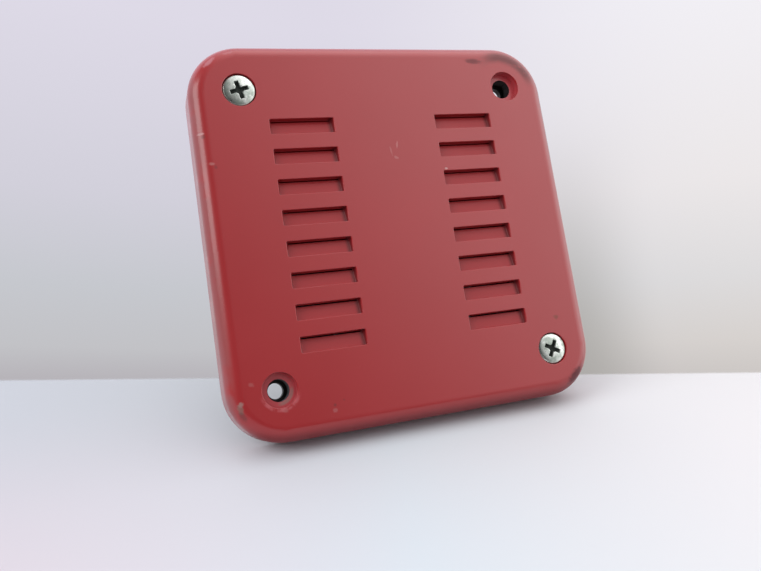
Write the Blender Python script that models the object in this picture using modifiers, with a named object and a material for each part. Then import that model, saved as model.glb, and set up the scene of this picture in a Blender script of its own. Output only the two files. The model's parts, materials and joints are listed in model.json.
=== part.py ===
"""Wall-mounted alarm siren: a vibrating horn behind a louvred die-cast cover.

Units are metres. +Z is up, the louvred face looks along -Y, and y = 0 is the wall,
which the rear of the cover's rim lies on. The horn stands behind the wall plane, inside
a 4 inch square electrical box. Each *_Y pair is a piece's front and rear along Y.
"""
from math import cos, pi, radians, sin, sqrt

import bmesh
import bpy
from mathutils import Matrix, Vector

MM = 0.001
GAP = 0.3 * MM               # left between two pieces that seat on each other
MARGIN = 1.0 * MM            # how far a cutter runs past what it cuts

# Cover, a die casting on the fixing pattern of a 4 inch square box
FIXING_PITCH = 90.49 * MM
FIXING_EDGE = 15.08 * MM     # fixing centre to the cover's side
COVER_DEPTH = 12.7 * MM
COVER_RIM = 2.2 * MM
COVER_FACE = 3.2 * MM
COVER_CORNER_R = 16.6 * MM
COVER_EDGE_R = 4.76 * MM
COVER_INNER_R = 1.6 * MM     # inside the same edge
RECESS_D = 10.3 * MM
RECESS_DEPTH = 2.6 * MM
SEAT_HOLE_D = 6.6 * MM
BOSS_WALL = 3.2 * MM

# Louvres: scooped pockets, each with a slit along its upper edge
LOUVRE_ROWS = 8
LOUVRE_PITCH = 9.525 * MM
LOUVRE_HEIGHT = 4.76 * MM
LOUVRE_LENGTH = 20.3 * MM
LOUVRE_INNER_X = 17.2 * MM
LOUVRE_DEPTH = 2.1 * MM      # along the upper edge
LOUVRE_LOWER_DEPTH = 1.2 * MM
LOUVRE_DRAFT = 0.6 * MM      # run of an end wall, from the face to the deepest floor
SLIT_HEIGHT = 0.5 * MM
SLIT_LEDGE = 0.15 * MM       # between the slit and the pocket's upper and end walls

# Mounting plate and the foam that seals it to the wall
PLATE_SETBACK = 7.5 * MM     # behind the cover's front face
PLATE_THICKNESS = 2.0 * MM
PLATE_CLEARANCE = 2.1 * MM   # to the inside of the cover's rim
PLATE_HOLE_D = 4.7 * MM
SOUND_HOLE_D = 80.0 * MM
FOAM_CLEARANCE = 1.2 * MM    # from the cover nuts to the foam

# Cover screws and nuts
COVER_SCREW_D = 4.1 * MM
COVER_SCREW_LENGTH = 12.7 * MM
COVER_HEAD_D = 9.7 * MM
COVER_HEAD_HEIGHT = 2.3 * MM
COVER_HEAD_SHOULDER = 0.78   # straight part of the head's height, below its dome
COVER_NUT_FLATS = 8.7 * MM
COVER_NUT_HEIGHT = 2.5 * MM
CROSS_RECESS = (5.8 * MM, 1.2 * MM, 1.5 * MM)  # length, width and depth
UPPER_LEFT_TURN = 15.0       # degrees that each driver recess stands turned
LOWER_RIGHT_TURN = -28.0

# Horn frame, a basket with a clamping flange
FRAME_DEPTH = 37.1 * MM
FRAME_WALL = 2.0 * MM
FLANGE_CLEARANCE = 3.0 * MM  # from the foam to the flange
FLANGE_WIDTH = 6.5 * MM
FRAME_SCREWS = 6
WINDOW_WIDTH = 43.0 * MM
WINDOW_FRONT = 5.0 * MM      # from the flange's rear to the windows
WINDOW_REAR = 4.2 * MM       # from the windows to the back wall's front
BACK_WINDOW_LENGTH = 20.0 * MM
BACK_WINDOW_WIDTH = 12.0 * MM
BACK_WINDOW_R = 28.0 * MM
SMALL_SCREW_D = 3.0 * MM
SMALL_HEAD_D = 5.6 * MM
SMALL_HEAD_HEIGHT = 2.0 * MM
HEAD_SHOULDER = 0.35         # straight part of a small head's height, below its dome
SMALL_SLOT = (0.9 * MM, 1.0 * MM)
SCREW_CLEARANCE = 0.3 * MM   # between a shank and its hole, on the radius

# Diaphragm, its gaskets and its centre hardware
RING_GASKET = 0.8 * MM
DIAPHRAGM_THICKNESS = 0.5 * MM
BEAD_R = 33.0 * MM
BEAD_HALF_WIDTH = 3.0 * MM
BEAD_HEIGHT = 0.8 * MM
RING_INSET = 0.5 * MM        # gaskets and diaphragm inside the flange's edge
STUD_D = 4.0 * MM
STUD_FRONT = 1.0 * MM        # the stud stands this far out of its nut
WASHER_D = 16.0 * MM
WASHER_THICKNESS = 1.0 * MM
CENTRE_NUT_FLATS = 7.0 * MM
CENTRE_NUT_HEIGHT = 3.2 * MM

# Armature and electromagnet
HUB_D = 10.0 * MM
HUB_LENGTH = 4.7 * MM
ARMATURE_THICKNESS = 3.0 * MM
AIR_GAP = 1.0 * MM
CORE_D = 10.0 * MM
YOKE_THICKNESS = 3.0 * MM
YOKE_WIDTH = 16.0 * MM
YOKE_INSET = 1.5 * MM        # legs inside the armature's rim
BOBBIN_SETBACK = 0.8 * MM    # behind the pole faces
BOBBIN_WALL = 1.2 * MM
BOBBIN_CLEARANCE = 0.7 * MM  # to the yoke's legs
WINDING_INSET = 1.0 * MM     # below the bobbin's rim
CORE_SCREW_D = 5.0 * MM
CORE_SCREW_GRIP = 9.6 * MM   # length inside the core
CORE_HEAD_FLATS = 8.0 * MM
CORE_HEAD_HEIGHT = 3.5 * MM

# Contact breaker
BLOCK_CLEARANCE = 3.5 * MM   # to the inside of the frame's wall
BLOCK_WIDTH = 9.0 * MM
BLOCK_HALF_HEIGHT = 8.0 * MM
CONTACT_OFFSET = 4.0 * MM    # contact's centre, inward of the block
RIM_OFFSET = 3.5 * MM        # armature's rim, inward of the contact's centre
PUSHER_OFFSET = 1.8 * MM     # pusher's centre, inward of the armature's rim
PUSHER_D = 3.0 * MM
PUSHER_HEIGHT = 1.4 * MM
ARM_THICKNESS = 0.4 * MM
ARM_HALF_WIDTH = 2.6 * MM
ARM_ROOT_INSET = 1.0 * MM
CONTACT_D = 3.2 * MM
MOVING_CONTACT_HEIGHT = 0.8 * MM
FIXED_CONTACT_HEIGHT = 1.8 * MM
RIVET_D = 1.6 * MM
RIVET_STAND = 0.5 * MM
BRACKET_THICKNESS = 1.0 * MM
BRACKET_CLEARANCE = 1.4 * MM  # to the armature's rim
BLOCK_CHAMFER = 0.6 * MM
STACK_SCREW_EDGE = 2.5 * MM  # from the stack screws to the ends of the block
ADJUSTER_EDGE = 2.0 * MM     # above the block's lower end
ADJUSTER_OFFSET = 1.1 * MM   # outward of the contact's centre
ADJUSTER_NUT_FLATS = 5.5 * MM
ADJUSTER_NUT_HEIGHT = 2.4 * MM
ARM_SWING = 0.15 * MM        # extra room for the stack screws as the arm turns

# Terminal block, on the back of the frame
TERMINALS = 4
TERMINAL_PITCH = 11.0 * MM
TERMINAL_EDGE = 5.5 * MM     # outer terminals to the block's ends
TERMINAL_DROP = 1.0 * MM     # terminals below the block's middle
TERMINAL_LOW_Z = 9.0 * MM
TERMINAL_HEIGHT = 18.0 * MM
TERMINAL_BASE = 6.0 * MM
TERMINAL_CHAMFER = 0.4 * MM
BARRIER_THICKNESS = 1.4 * MM
BARRIER_HEIGHT = 4.0 * MM
BARRIER_LENGTH = 11.6 * MM
EAR_LENGTH = 5.5 * MM
EAR_HEIGHT = 8.0 * MM
EAR_THICKNESS = 3.0 * MM
CLAMP_WIDTH = 8.4 * MM
CLAMP_LENGTH = 11.0 * MM
CLAMP_THICKNESS = 1.0 * MM
TAG_WIDTH = 3.0 * MM
TAG_LENGTH = 4.0 * MM
TERMINAL_SCREW_D = 3.5 * MM
TERMINAL_HEAD_D = 7.0 * MM
TERMINAL_HEAD_HEIGHT = 2.2 * MM
TERMINAL_SCREW_DEPTH = 5.0 * MM
TERMINAL_SLOT = (1.1 * MM, 1.2 * MM)

# Small electrical parts
CAPACITOR_THICKNESS = 5.0 * MM
CAPACITOR_LENGTH = 12.0 * MM
CAPACITOR_EDGE_R = 0.8 * MM
CAPACITOR_LEAD_D = 0.8 * MM
DIODE_D = 2.7 * MM
DIODE_LENGTH = 5.2 * MM
DIODE_LEAD_D = 0.8 * MM
WIRE_D = 1.6 * MM
COIL_LEAD_ANGLE = radians(30)  # where the leads leave the coil
COIL_LEAD_SETBACK = 8.0 * MM   # from the bobbin's rear
GROMMET_HOLE_D = 8.0 * MM
GROMMET_BORE_D = 4.6 * MM
GROMMET_LIP = 1.2 * MM
GROMMET_CLEARANCE = 1.3 * MM  # from the terminal block to the lip

SMOOTH_STEPS = 40            # facets round the large turned pieces
MEDIUM_STEPS = 24
SMALL_STEPS = 12


def behind(span, thickness):
    """Front and rear of a piece that seats on the rear of another."""
    front = span[1] + GAP
    return front, front + thickness


def before(span, thickness):
    """Front and rear of a piece that seats on the front of another."""
    rear = span[0] - GAP
    return rear - thickness, rear


# Places along Y, from the cover's face to the back of the frame
FACE_Y = -COVER_DEPTH
SEAT_Y = FACE_Y + RECESS_DEPTH
FACE_REAR_Y = FACE_Y + COVER_FACE
PLATE_Y = (FACE_Y + PLATE_SETBACK, FACE_Y + PLATE_SETBACK + PLATE_THICKNESS)
FRONT_GASKET_Y = behind(PLATE_Y, RING_GASKET)
DIAPHRAGM_Y = behind(FRONT_GASKET_Y, DIAPHRAGM_THICKNESS)
REAR_GASKET_Y = behind(DIAPHRAGM_Y, RING_GASKET)
FLANGE_Y = behind(REAR_GASKET_Y, FRAME_WALL)
BACK_Y = (FLANGE_Y[0] + FRAME_DEPTH - FRAME_WALL, FLANGE_Y[0] + FRAME_DEPTH)
FRONT_WASHER_Y = before(DIAPHRAGM_Y, WASHER_THICKNESS)
CENTRE_NUT_Y = before(FRONT_WASHER_Y, CENTRE_NUT_HEIGHT)
REAR_WASHER_Y = behind(DIAPHRAGM_Y, WASHER_THICKNESS)
HUB_Y = behind(REAR_WASHER_Y, HUB_LENGTH)
ARMATURE_Y = (HUB_Y[1], HUB_Y[1] + ARMATURE_THICKNESS)
POLE_Y = ARMATURE_Y[1] + AIR_GAP
YOKE_Y = before(BACK_Y, YOKE_THICKNESS)
CORE_Y = (POLE_Y, YOKE_Y[0] - GAP)
BOBBIN_Y = (POLE_Y + BOBBIN_SETBACK, YOKE_Y[0] - GAP)
PUSHER_Y = behind(ARMATURE_Y, PUSHER_HEIGHT)
ARM_Y = behind(PUSHER_Y, ARM_THICKNESS)
MOVING_CONTACT_Y = before(ARM_Y, MOVING_CONTACT_HEIGHT)
FIXED_CONTACT_Y = before(MOVING_CONTACT_Y, FIXED_CONTACT_HEIGHT)
BRACKET_Y = before(FIXED_CONTACT_Y, BRACKET_THICKNESS)
INSULATOR_Y = (BRACKET_Y[1] + GAP, ARM_Y[0] - GAP)
BLOCK_Y = (ARM_Y[1] + GAP, BACK_Y[0] - GAP)
TERMINAL_Y = behind(BACK_Y, TERMINAL_BASE)
CLAMP_Y = behind(TERMINAL_Y, CLAMP_THICKNESS)
TERMINAL_HEAD_Y = behind(CLAMP_Y, TERMINAL_HEAD_HEIGHT)
EAR_Y = behind(BACK_Y, EAR_THICKNESS)
ADJUSTER_NUT_Y = behind(BACK_Y, ADJUSTER_NUT_HEIGHT)
ADJUSTER_HEAD_Y = behind(ADJUSTER_NUT_Y, SMALL_HEAD_HEIGHT)

# Places across the siren, from the cover's side to the coil
FIXING = FIXING_PITCH / 2
COVER_HALF = FIXING + FIXING_EDGE
RIM_INSIDE = COVER_HALF - COVER_RIM
PLATE_HALF = RIM_INSIDE - PLATE_CLEARANCE
PLATE_CORNER_R = COVER_CORNER_R - COVER_RIM - PLATE_CLEARANCE
FOAM_INSIDE = FIXING + COVER_NUT_FLATS / sqrt(3) + FOAM_CLEARANCE
FLANGE_R = FOAM_INSIDE - FLANGE_CLEARANCE
FRAME_R = FLANGE_R - FLANGE_WIDTH
FRAME_BORE_R = FRAME_R - FRAME_WALL
CLAMP_R = (FRAME_R + FLANGE_R) / 2
RING_R = FLANGE_R - RING_INSET
BLOCK_X = (FRAME_BORE_R - BLOCK_CLEARANCE - BLOCK_WIDTH, FRAME_BORE_R - BLOCK_CLEARANCE)
STACK_X = (BLOCK_X[0] + BLOCK_X[1]) / 2
CONTACT_X = BLOCK_X[0] - CONTACT_OFFSET
ARMATURE_R = CONTACT_X - RIM_OFFSET
PUSHER_X = ARMATURE_R - PUSHER_OFFSET
ADJUSTER_X = CONTACT_X + ADJUSTER_OFFSET
YOKE_HALF = ARMATURE_R - YOKE_INSET
BOBBIN_R = YOKE_HALF - YOKE_THICKNESS - BOBBIN_CLEARANCE
BOBBIN_HUB_R = CORE_D / 2 + GAP + BOBBIN_WALL
STACK_SCREW_Z = BLOCK_HALF_HEIGHT - STACK_SCREW_EDGE
ADJUSTER_Z = ADJUSTER_EDGE - BLOCK_HALF_HEIGHT
SMALL_HOLE_R = SMALL_SCREW_D / 2 + SCREW_CLEARANCE
TERMINAL_HALF = (TERMINALS - 1) * TERMINAL_PITCH / 2 + TERMINAL_EDGE
EAR_X = TERMINAL_HALF + EAR_LENGTH / 2
TERMINAL_Z = TERMINAL_LOW_Z + TERMINAL_HEIGHT / 2 - TERMINAL_DROP
TAG_Z = TERMINAL_Z + CLAMP_LENGTH / 2 + TAG_LENGTH / 2
TERMINAL_X = [(i - (TERMINALS - 1) / 2) * TERMINAL_PITCH for i in range(TERMINALS)]
GROMMET_LIP_R = GROMMET_HOLE_D / 2 + GROMMET_LIP
GROMMET_Z = TERMINAL_LOW_Z + TERMINAL_HEIGHT + GROMMET_CLEARANCE + GROMMET_LIP_R
COIL_R = BOBBIN_R - WINDING_INSET
STACK_PLACES = [(STACK_X, -STACK_SCREW_Z), (STACK_X, STACK_SCREW_Z)]
EAR_PLACES = [(-EAR_X, TERMINAL_Z), (EAR_X, TERMINAL_Z)]

parts = None
cutters = None


def clear_scene():
    for obj in list(bpy.data.objects):
        bpy.data.objects.remove(obj, do_unlink=True)


def new_collection(name):
    collection = bpy.data.collections.new(name)
    bpy.context.scene.collection.children.link(collection)
    return collection


def material(name, colour, roughness, metallic):
    made = bpy.data.materials.new(name)
    made.use_nodes = True
    shader = made.node_tree.nodes["Principled BSDF"]
    shader.inputs["Base Color"].default_value = (*colour, 1.0)
    shader.inputs["Roughness"].default_value = roughness
    shader.inputs["Metallic"].default_value = metallic
    return made


def add_part(name, mesh, finish, location=(0, 0, 0), rotation=(0, 0, 0)):
    obj = bpy.data.objects.new(name, mesh)
    obj.location = location
    obj.rotation_euler = rotation
    if not mesh.materials:
        mesh.materials.append(finish)
    parts.objects.link(obj)
    return obj


def add_cutter(name, mesh):
    obj = bpy.data.objects.new(name, mesh)
    obj.hide_render = True
    obj.display_type = "WIRE"
    cutters.objects.link(obj)
    return obj


def boolean(target, cutter, operation="DIFFERENCE"):
    modifier = target.modifiers.new(cutter.name, "BOOLEAN")
    modifier.solver = "EXACT"
    modifier.operation = operation
    modifier.object = cutter


def round_edges(obj, width, segments=2):
    modifier = obj.modifiers.new("rounded_edges", "BEVEL")
    modifier.width = width
    modifier.segments = segments
    modifier.limit_method = "ANGLE"
    modifier.angle_limit = radians(40)


def smooth(mesh, angle=35):
    mesh.shade_smooth()
    mesh.set_sharp_from_angle(angle=radians(angle))


def finished_mesh(obj, name):
    """The mesh that an object's modifiers make, with the object itself removed."""
    bpy.context.view_layer.update()
    depsgraph = bpy.context.evaluated_depsgraph_get()
    mesh = bpy.data.meshes.new_from_object(obj.evaluated_get(depsgraph))
    mesh.name = name
    mesh.transform(obj.matrix_world)
    bpy.data.objects.remove(obj, do_unlink=True)
    return mesh


def to_mesh(bm, name):
    bmesh.ops.recalc_face_normals(bm, faces=bm.faces)
    mesh = bpy.data.meshes.new(name)
    bm.to_mesh(mesh)
    bm.free()
    return mesh


def box_mesh(name, x, y, z, centre=(0, 0, 0)):
    """A box between the given (low, high) pairs, its mesh measured from the centre."""
    bm = bmesh.new()
    bmesh.ops.create_cube(bm, size=1.0)
    size = Vector((x[1] - x[0], y[1] - y[0], z[1] - z[0]))
    middle = Vector(((x[0] + x[1]) / 2, (y[0] + y[1]) / 2, (z[0] + z[1]) / 2))
    bmesh.ops.transform(bm, matrix=Matrix.Diagonal(size).to_4x4(), verts=bm.verts)
    bmesh.ops.translate(bm, vec=middle - Vector(centre), verts=bm.verts)
    return to_mesh(bm, name)


def box(name, x, y, z, finish):
    middle = ((x[0] + x[1]) / 2, (y[0] + y[1]) / 2, (z[0] + z[1]) / 2)
    return add_part(name, box_mesh(name, x, y, z, middle), finish, middle)


def box_cutter(name, x, y, z, turn=0.0):
    """A box cutter, turned about Y by the given angle in degrees."""
    cutter = add_cutter(name, box_mesh(name, x, y, z))
    cutter.rotation_euler = (0, radians(turn), 0)
    return cutter


def prism_mesh(name, half, y, corner_r, edge_r=0.0, corner_steps=6, edge_steps=4):
    """A square slab with rounded corners and, if edge_r is given, a rounded front edge."""
    bm = bmesh.new()
    bmesh.ops.create_cube(bm, size=1.0)
    size = Vector((2 * half, y[1] - y[0], 2 * half))
    bmesh.ops.transform(bm, matrix=Matrix.Diagonal(size).to_4x4(), verts=bm.verts)
    bmesh.ops.translate(bm, vec=(0, (y[0] + y[1]) / 2, 0), verts=bm.verts)
    along_y = [e for e in bm.edges if abs(e.verts[0].co.y - e.verts[1].co.y) > size.y / 2]
    bmesh.ops.bevel(bm, geom=along_y, offset=corner_r, segments=corner_steps,
                    profile=0.5, affect="EDGES", material=-1)
    if edge_r > 0:
        middle = (y[0] + y[1]) / 2
        front = [e for e in bm.edges if all(v.co.y < middle for v in e.verts)]
        bmesh.ops.bevel(bm, geom=front, offset=edge_r, segments=edge_steps,
                        profile=0.5, affect="EDGES", material=-1)
    return to_mesh(bm, name)


def rods_mesh(name, centres, radius, y, steps=SMALL_STEPS):
    """Round rods along Y, one at each (x, z) centre."""
    bm = bmesh.new()
    for x, z in centres:
        turn = Matrix.Rotation(pi / 2, 4, "X")
        place = Matrix.Translation((x, (y[0] + y[1]) / 2, z))
        bmesh.ops.create_cone(bm, cap_ends=True, segments=steps, radius1=radius,
                              radius2=radius, depth=y[1] - y[0], matrix=place @ turn)
    return to_mesh(bm, name)


def drill(target, name, centres, radius, y, steps=SMALL_STEPS):
    """Holes along Y through a piece that lies between the two places in y."""
    span = (y[0] - MARGIN, y[1] + MARGIN)
    boolean(target, add_cutter(name, rods_mesh(name, centres, radius, span, steps)))


def turned(name, profile, finish, steps=MEDIUM_STEPS, at=(0, 0), ring=False):
    """A piece turned about the line along Y through (x, z).

    The profile's points are (radius, y). They run from the rear to the front down the
    outer side; a ring's profile comes back along its bore and closes on itself.
    """
    mesh = bpy.data.meshes.new(name)
    points = [(radius, 0, y) for radius, y in profile]
    edges = [(i, i + 1) for i in range(len(points) - 1)]
    if ring:
        edges.append((len(points) - 1, 0))
    mesh.from_pydata(points, edges, [])
    obj = add_part(name, mesh, finish, (at[0], 0, at[1]), (-pi / 2, 0, 0))
    screw = obj.modifiers.new("turned", "SCREW")
    screw.axis = "Z"
    screw.angle = 2 * pi
    screw.steps = steps
    screw.render_steps = steps
    screw.use_merge_vertices = True
    screw.merge_threshold = 0.000001
    return obj


def ring_profile(inner, outer, y):
    return [(outer, y[1]), (outer, y[0]), (inner, y[0]), (inner, y[1])]


def screw_mesh(name, finish, shank_d, head_d, head_height, length, cross=None, slot=None,
               steps=SMALL_STEPS, shoulder=HEAD_SHOULDER):
    """A domed screw along Y: the head's seat is at y = 0, its shank runs towards +Y.

    A cross is the (length, width, depth) of a driver recess, a slot its (width, depth).
    The shoulder is the straight share of the head's height, below the dome.
    """
    head = head_d / 2
    dome = [(head * sin(radians(a)),
             -head_height * (shoulder + (1 - shoulder) * cos(radians(a))))
            for a in (90, 60, 30, 0)]
    profile = [(0, length), (shank_d / 2, length), (shank_d / 2, 0), (head, 0), *dome]
    blank = turned(name, profile, finish, steps)
    if cross:
        long, width, depth = cross
        sides = [(long, width), (width, long)]
    else:
        width, depth = slot
        sides = [(2 * head_d, width)]
    y = (-head_height - MARGIN, -head_height + depth)
    recess = [box_cutter(name + "_recess", (-a / 2, a / 2), y, (-b / 2, b / 2))
              for a, b in sides]
    for cutter in recess:
        boolean(blank, cutter)
    mesh = finished_mesh(blank, name)
    for cutter in recess:
        bpy.data.objects.remove(cutter, do_unlink=True)
    return mesh


def small_screw_mesh(name, length):
    return screw_mesh(name, BRIGHT_ZINC, SMALL_SCREW_D, SMALL_HEAD_D, SMALL_HEAD_HEIGHT,
                      length, slot=SMALL_SLOT)


def nut(name, flats, bore_d, y, finish, at=(0, 0)):
    """A hexagon nut about a line along Y."""
    mesh = rods_mesh(name, [(0, 0)], flats / sqrt(3), y, steps=6)
    obj = add_part(name, mesh, finish, (at[0], 0, at[1]))
    hole = add_cutter(name + "_bore", rods_mesh(name + "_bore", [at], bore_d / 2,
                                                (y[0] - MARGIN, y[1] + MARGIN)))
    boolean(obj, hole)
    return obj


def wire(name, points, finish, diameter=WIRE_D, smoothing=2):
    """A round wire on a smooth curve through the given points."""
    route = smooth_route([Vector(p) for p in points], smoothing)
    curve = bpy.data.curves.new(name, "CURVE")
    curve.dimensions = "3D"
    curve.bevel_depth = diameter / 2
    curve.bevel_resolution = 2
    curve.use_fill_caps = True
    spline = curve.splines.new("POLY")
    spline.points.add(len(route) - 1)
    for point, place in zip(spline.points, route):
        point.co = (*place, 1)
    obj = bpy.data.objects.new(name, curve)
    curve.materials.append(finish)
    parts.objects.link(obj)
    return obj


def smooth_route(points, steps):
    """Catmull-Rom points between the given ones, so that a wire has no corners."""
    padded = [2 * points[0] - points[1], *points, 2 * points[-1] - points[-2]]
    route = []
    for a, b, c, d in zip(padded, padded[1:], padded[2:], padded[3:]):
        for step in range(steps):
            t = step / steps
            route.append(0.5 * (2 * b + (c - a) * t + (2 * a - 5 * b + 4 * c - d) * t ** 2
                                + (3 * b - a - 3 * c + d) * t ** 3))
    return [*route, points[-1]]


def group(name, place, members):
    """Hang moving pieces on an empty that stands on their joint's axis."""
    empty = bpy.data.objects.new(name, None)
    empty.location = place
    parts.objects.link(empty)
    for obj in members:
        obj.parent = empty
        obj.location = Vector(obj.location) - Vector(place)


def corners(first, second):
    """The two opposite corners of the fixing square with the given (x, z) signs."""
    return [(sx * FIXING, sz * FIXING) for sx, sz in (first, second)]


SCREWED_CORNERS = corners((-1, 1), (1, -1))
OPEN_CORNERS = corners((1, 1), (-1, -1))
ALL_CORNERS = SCREWED_CORNERS + OPEN_CORNERS


def louvre_tops():
    """Every louvre's inner x, outer x and upper edge."""
    upper = ((LOUVRE_ROWS - 1) * LOUVRE_PITCH + LOUVRE_HEIGHT) / 2
    for side in (-1, 1):
        x = sorted((side * LOUVRE_INNER_X, side * (LOUVRE_INNER_X + LOUVRE_LENGTH)))
        for row in range(LOUVRE_ROWS):
            yield x, upper - row * LOUVRE_PITCH


def louvre_pockets():
    """Scoops that are deepest at their upper edge."""
    bm = bmesh.new()
    flare = LOUVRE_DRAFT / LOUVRE_DEPTH
    for x, top in louvre_tops():
        made = bmesh.ops.create_cube(bm, size=1.0)["verts"]
        for vert in made:
            upper = vert.co.z > 0
            side = 0 if vert.co.x < 0 else 1
            inward = 1 if side == 0 else -1
            depth = -MARGIN
            if vert.co.y > 0:
                depth = LOUVRE_DEPTH if upper else LOUVRE_LOWER_DEPTH
            z = top if upper else top - LOUVRE_HEIGHT
            vert.co = (x[side] + inward * depth * flare, FACE_Y + depth, z)
    return add_cutter("louvre_pockets", to_mesh(bm, "louvre_pockets"))


def louvre_slits():
    bm = bmesh.new()
    y = (FACE_Y - MARGIN, FACE_REAR_Y + MARGIN)
    for x, top in louvre_tops():
        length = x[1] - x[0] - 2 * (LOUVRE_DRAFT + SLIT_LEDGE)
        size = Vector((length, y[1] - y[0], SLIT_HEIGHT))
        middle = ((x[0] + x[1]) / 2, (y[0] + y[1]) / 2, top - SLIT_LEDGE - SLIT_HEIGHT / 2)
        place = Matrix.Translation(middle) @ Matrix.Diagonal(size).to_4x4()
        bmesh.ops.create_cube(bm, size=1.0, matrix=place)
    return add_cutter("louvre_slits", to_mesh(bm, "louvre_slits"))


def front_cover():
    mesh = prism_mesh("front_cover", COVER_HALF, (FACE_Y, 0), COVER_CORNER_R, COVER_EDGE_R)
    cover = add_part("front_cover", mesh, RED_PAINT)
    cavity = prism_mesh("cover_cavity", RIM_INSIDE, (FACE_REAR_Y, MARGIN),
                        COVER_CORNER_R - COVER_RIM, COVER_INNER_R, edge_steps=2)
    boolean(cover, add_cutter("cover_cavity", cavity))
    boss_y = ((SEAT_Y + FACE_REAR_Y) / 2, PLATE_Y[0] - GAP)
    bosses = rods_mesh("bosses", ALL_CORNERS, SEAT_HOLE_D / 2 + BOSS_WALL, boss_y,
                       MEDIUM_STEPS)
    boolean(cover, add_cutter("bosses", bosses), "UNION")
    drill(cover, "seat_holes", ALL_CORNERS, SEAT_HOLE_D / 2, (FACE_Y, PLATE_Y[0]),
          MEDIUM_STEPS)
    recess_y = (FACE_Y - MARGIN, SEAT_Y)
    recesses = rods_mesh("screw_recesses", ALL_CORNERS, RECESS_D / 2, recess_y,
                         MEDIUM_STEPS)
    boolean(cover, add_cutter("screw_recesses", recesses))
    boolean(cover, louvre_pockets())
    boolean(cover, louvre_slits())


def cover_fasteners():
    mesh = screw_mesh("cover_screw", BRIGHT_ZINC, COVER_SCREW_D, COVER_HEAD_D,
                      COVER_HEAD_HEIGHT, COVER_SCREW_LENGTH, cross=CROSS_RECESS,
                      steps=MEDIUM_STEPS, shoulder=COVER_HEAD_SHOULDER)
    nut_y = behind(PLATE_Y, COVER_NUT_HEIGHT)
    names = ("upper_left", "lower_right")
    turns = (UPPER_LEFT_TURN, LOWER_RIGHT_TURN)
    for name, turn, (x, z) in zip(names, turns, SCREWED_CORNERS):
        add_part("cover_screw_" + name, mesh, BRIGHT_ZINC, (x, SEAT_Y - GAP, z),
                 (0, -radians(turn), 0))
        nut("cover_nut_" + name, COVER_NUT_FLATS, COVER_SCREW_D + 2 * SCREW_CLEARANCE,
            nut_y, BRIGHT_ZINC, (x, z))


def mounting_plate():
    mesh = prism_mesh("mounting_plate", PLATE_HALF, PLATE_Y, PLATE_CORNER_R, corner_steps=4)
    plate = add_part("mounting_plate", mesh, BLACK_PLATE)
    drill(plate, "sound_hole", [(0, 0)], SOUND_HOLE_D / 2, PLATE_Y, SMOOTH_STEPS)
    drill(plate, "plate_corner_holes", ALL_CORNERS, PLATE_HOLE_D / 2, PLATE_Y)
    boolean(plate, bpy.data.objects["clamp_holes"])


def wall_gasket():
    y = (PLATE_Y[1] + GAP, 0)
    mesh = prism_mesh("wall_gasket", PLATE_HALF, y, PLATE_CORNER_R, corner_steps=4)
    foam = add_part("wall_gasket", mesh, FOAM)
    hollow = prism_mesh("foam_opening", FOAM_INSIDE, (y[0] - MARGIN, y[1] + MARGIN),
                        PLATE_CORNER_R / 2, corner_steps=3)
    boolean(foam, add_cutter("foam_opening", hollow))


def clamp_places():
    turns = [2 * pi * (i + 0.5) / FRAME_SCREWS for i in range(FRAME_SCREWS)]
    return [(CLAMP_R * cos(a), CLAMP_R * sin(a)) for a in turns]


def clamp_holes():
    """One cutter for the holes that the frame screws pass, from the plate to the flange."""
    y = (PLATE_Y[0] - MARGIN, FLANGE_Y[1] + MARGIN)
    add_cutter("clamp_holes", rods_mesh("clamp_holes", clamp_places(), SMALL_HOLE_R, y))


def diaphragm_gaskets():
    for name, y in (("front", FRONT_GASKET_Y), ("rear", REAR_GASKET_Y)):
        ring = turned("diaphragm_gasket_" + name, ring_profile(FRAME_R, RING_R, y), FIBRE,
                      SMOOTH_STEPS, ring=True)
        boolean(ring, bpy.data.objects["clamp_holes"])


def horn_frame():
    turn_in = FRAME_WALL
    outside = [(0, BACK_Y[1]), (FRAME_R - turn_in, BACK_Y[1]),
               (FRAME_R - turn_in * (1 - sin(pi / 4)), BACK_Y[1] - turn_in * (1 - cos(pi / 4))),
               (FRAME_R, BACK_Y[1] - turn_in), (FRAME_R, FLANGE_Y[1]), (FLANGE_R, FLANGE_Y[1]),
               (FLANGE_R, FLANGE_Y[0]), (FRAME_BORE_R, FLANGE_Y[0]),
               (FRAME_BORE_R, BACK_Y[0]), (0, BACK_Y[0])]
    frame = turned("horn_frame", outside, CAST_ALUMINIUM, SMOOTH_STEPS)
    window_y = (FLANGE_Y[1] + WINDOW_FRONT, BACK_Y[0] - WINDOW_REAR)
    for name, turn in (("side_windows_a", 45), ("side_windows_b", 135)):
        cutter = box_cutter(name, (-FLANGE_R, FLANGE_R), window_y,
                            (-WINDOW_WIDTH / 2, WINDOW_WIDTH / 2), turn)
        boolean(frame, cutter)
    for name, turn in (("back_window_left", 135), ("back_window_right", 45)):
        x = (BACK_WINDOW_R - BACK_WINDOW_WIDTH / 2, BACK_WINDOW_R + BACK_WINDOW_WIDTH / 2)
        cutter = box_cutter(name, x, (BACK_Y[0] - MARGIN, BACK_Y[1] + MARGIN),
                            (-BACK_WINDOW_LENGTH / 2, BACK_WINDOW_LENGTH / 2), turn)
        boolean(frame, cutter)
    boolean(frame, bpy.data.objects["clamp_holes"])
    small = [*STACK_PLACES, *EAR_PLACES, (ADJUSTER_X, ADJUSTER_Z)]
    drill(frame, "back_screw_holes", small, SMALL_HOLE_R, BACK_Y)
    drill(frame, "core_screw_hole", [(0, 0)], CORE_SCREW_D / 2 + SCREW_CLEARANCE, BACK_Y)
    drill(frame, "grommet_hole", [(0, GROMMET_Z)], GROMMET_HOLE_D / 2, BACK_Y,
          MEDIUM_STEPS)


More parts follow.
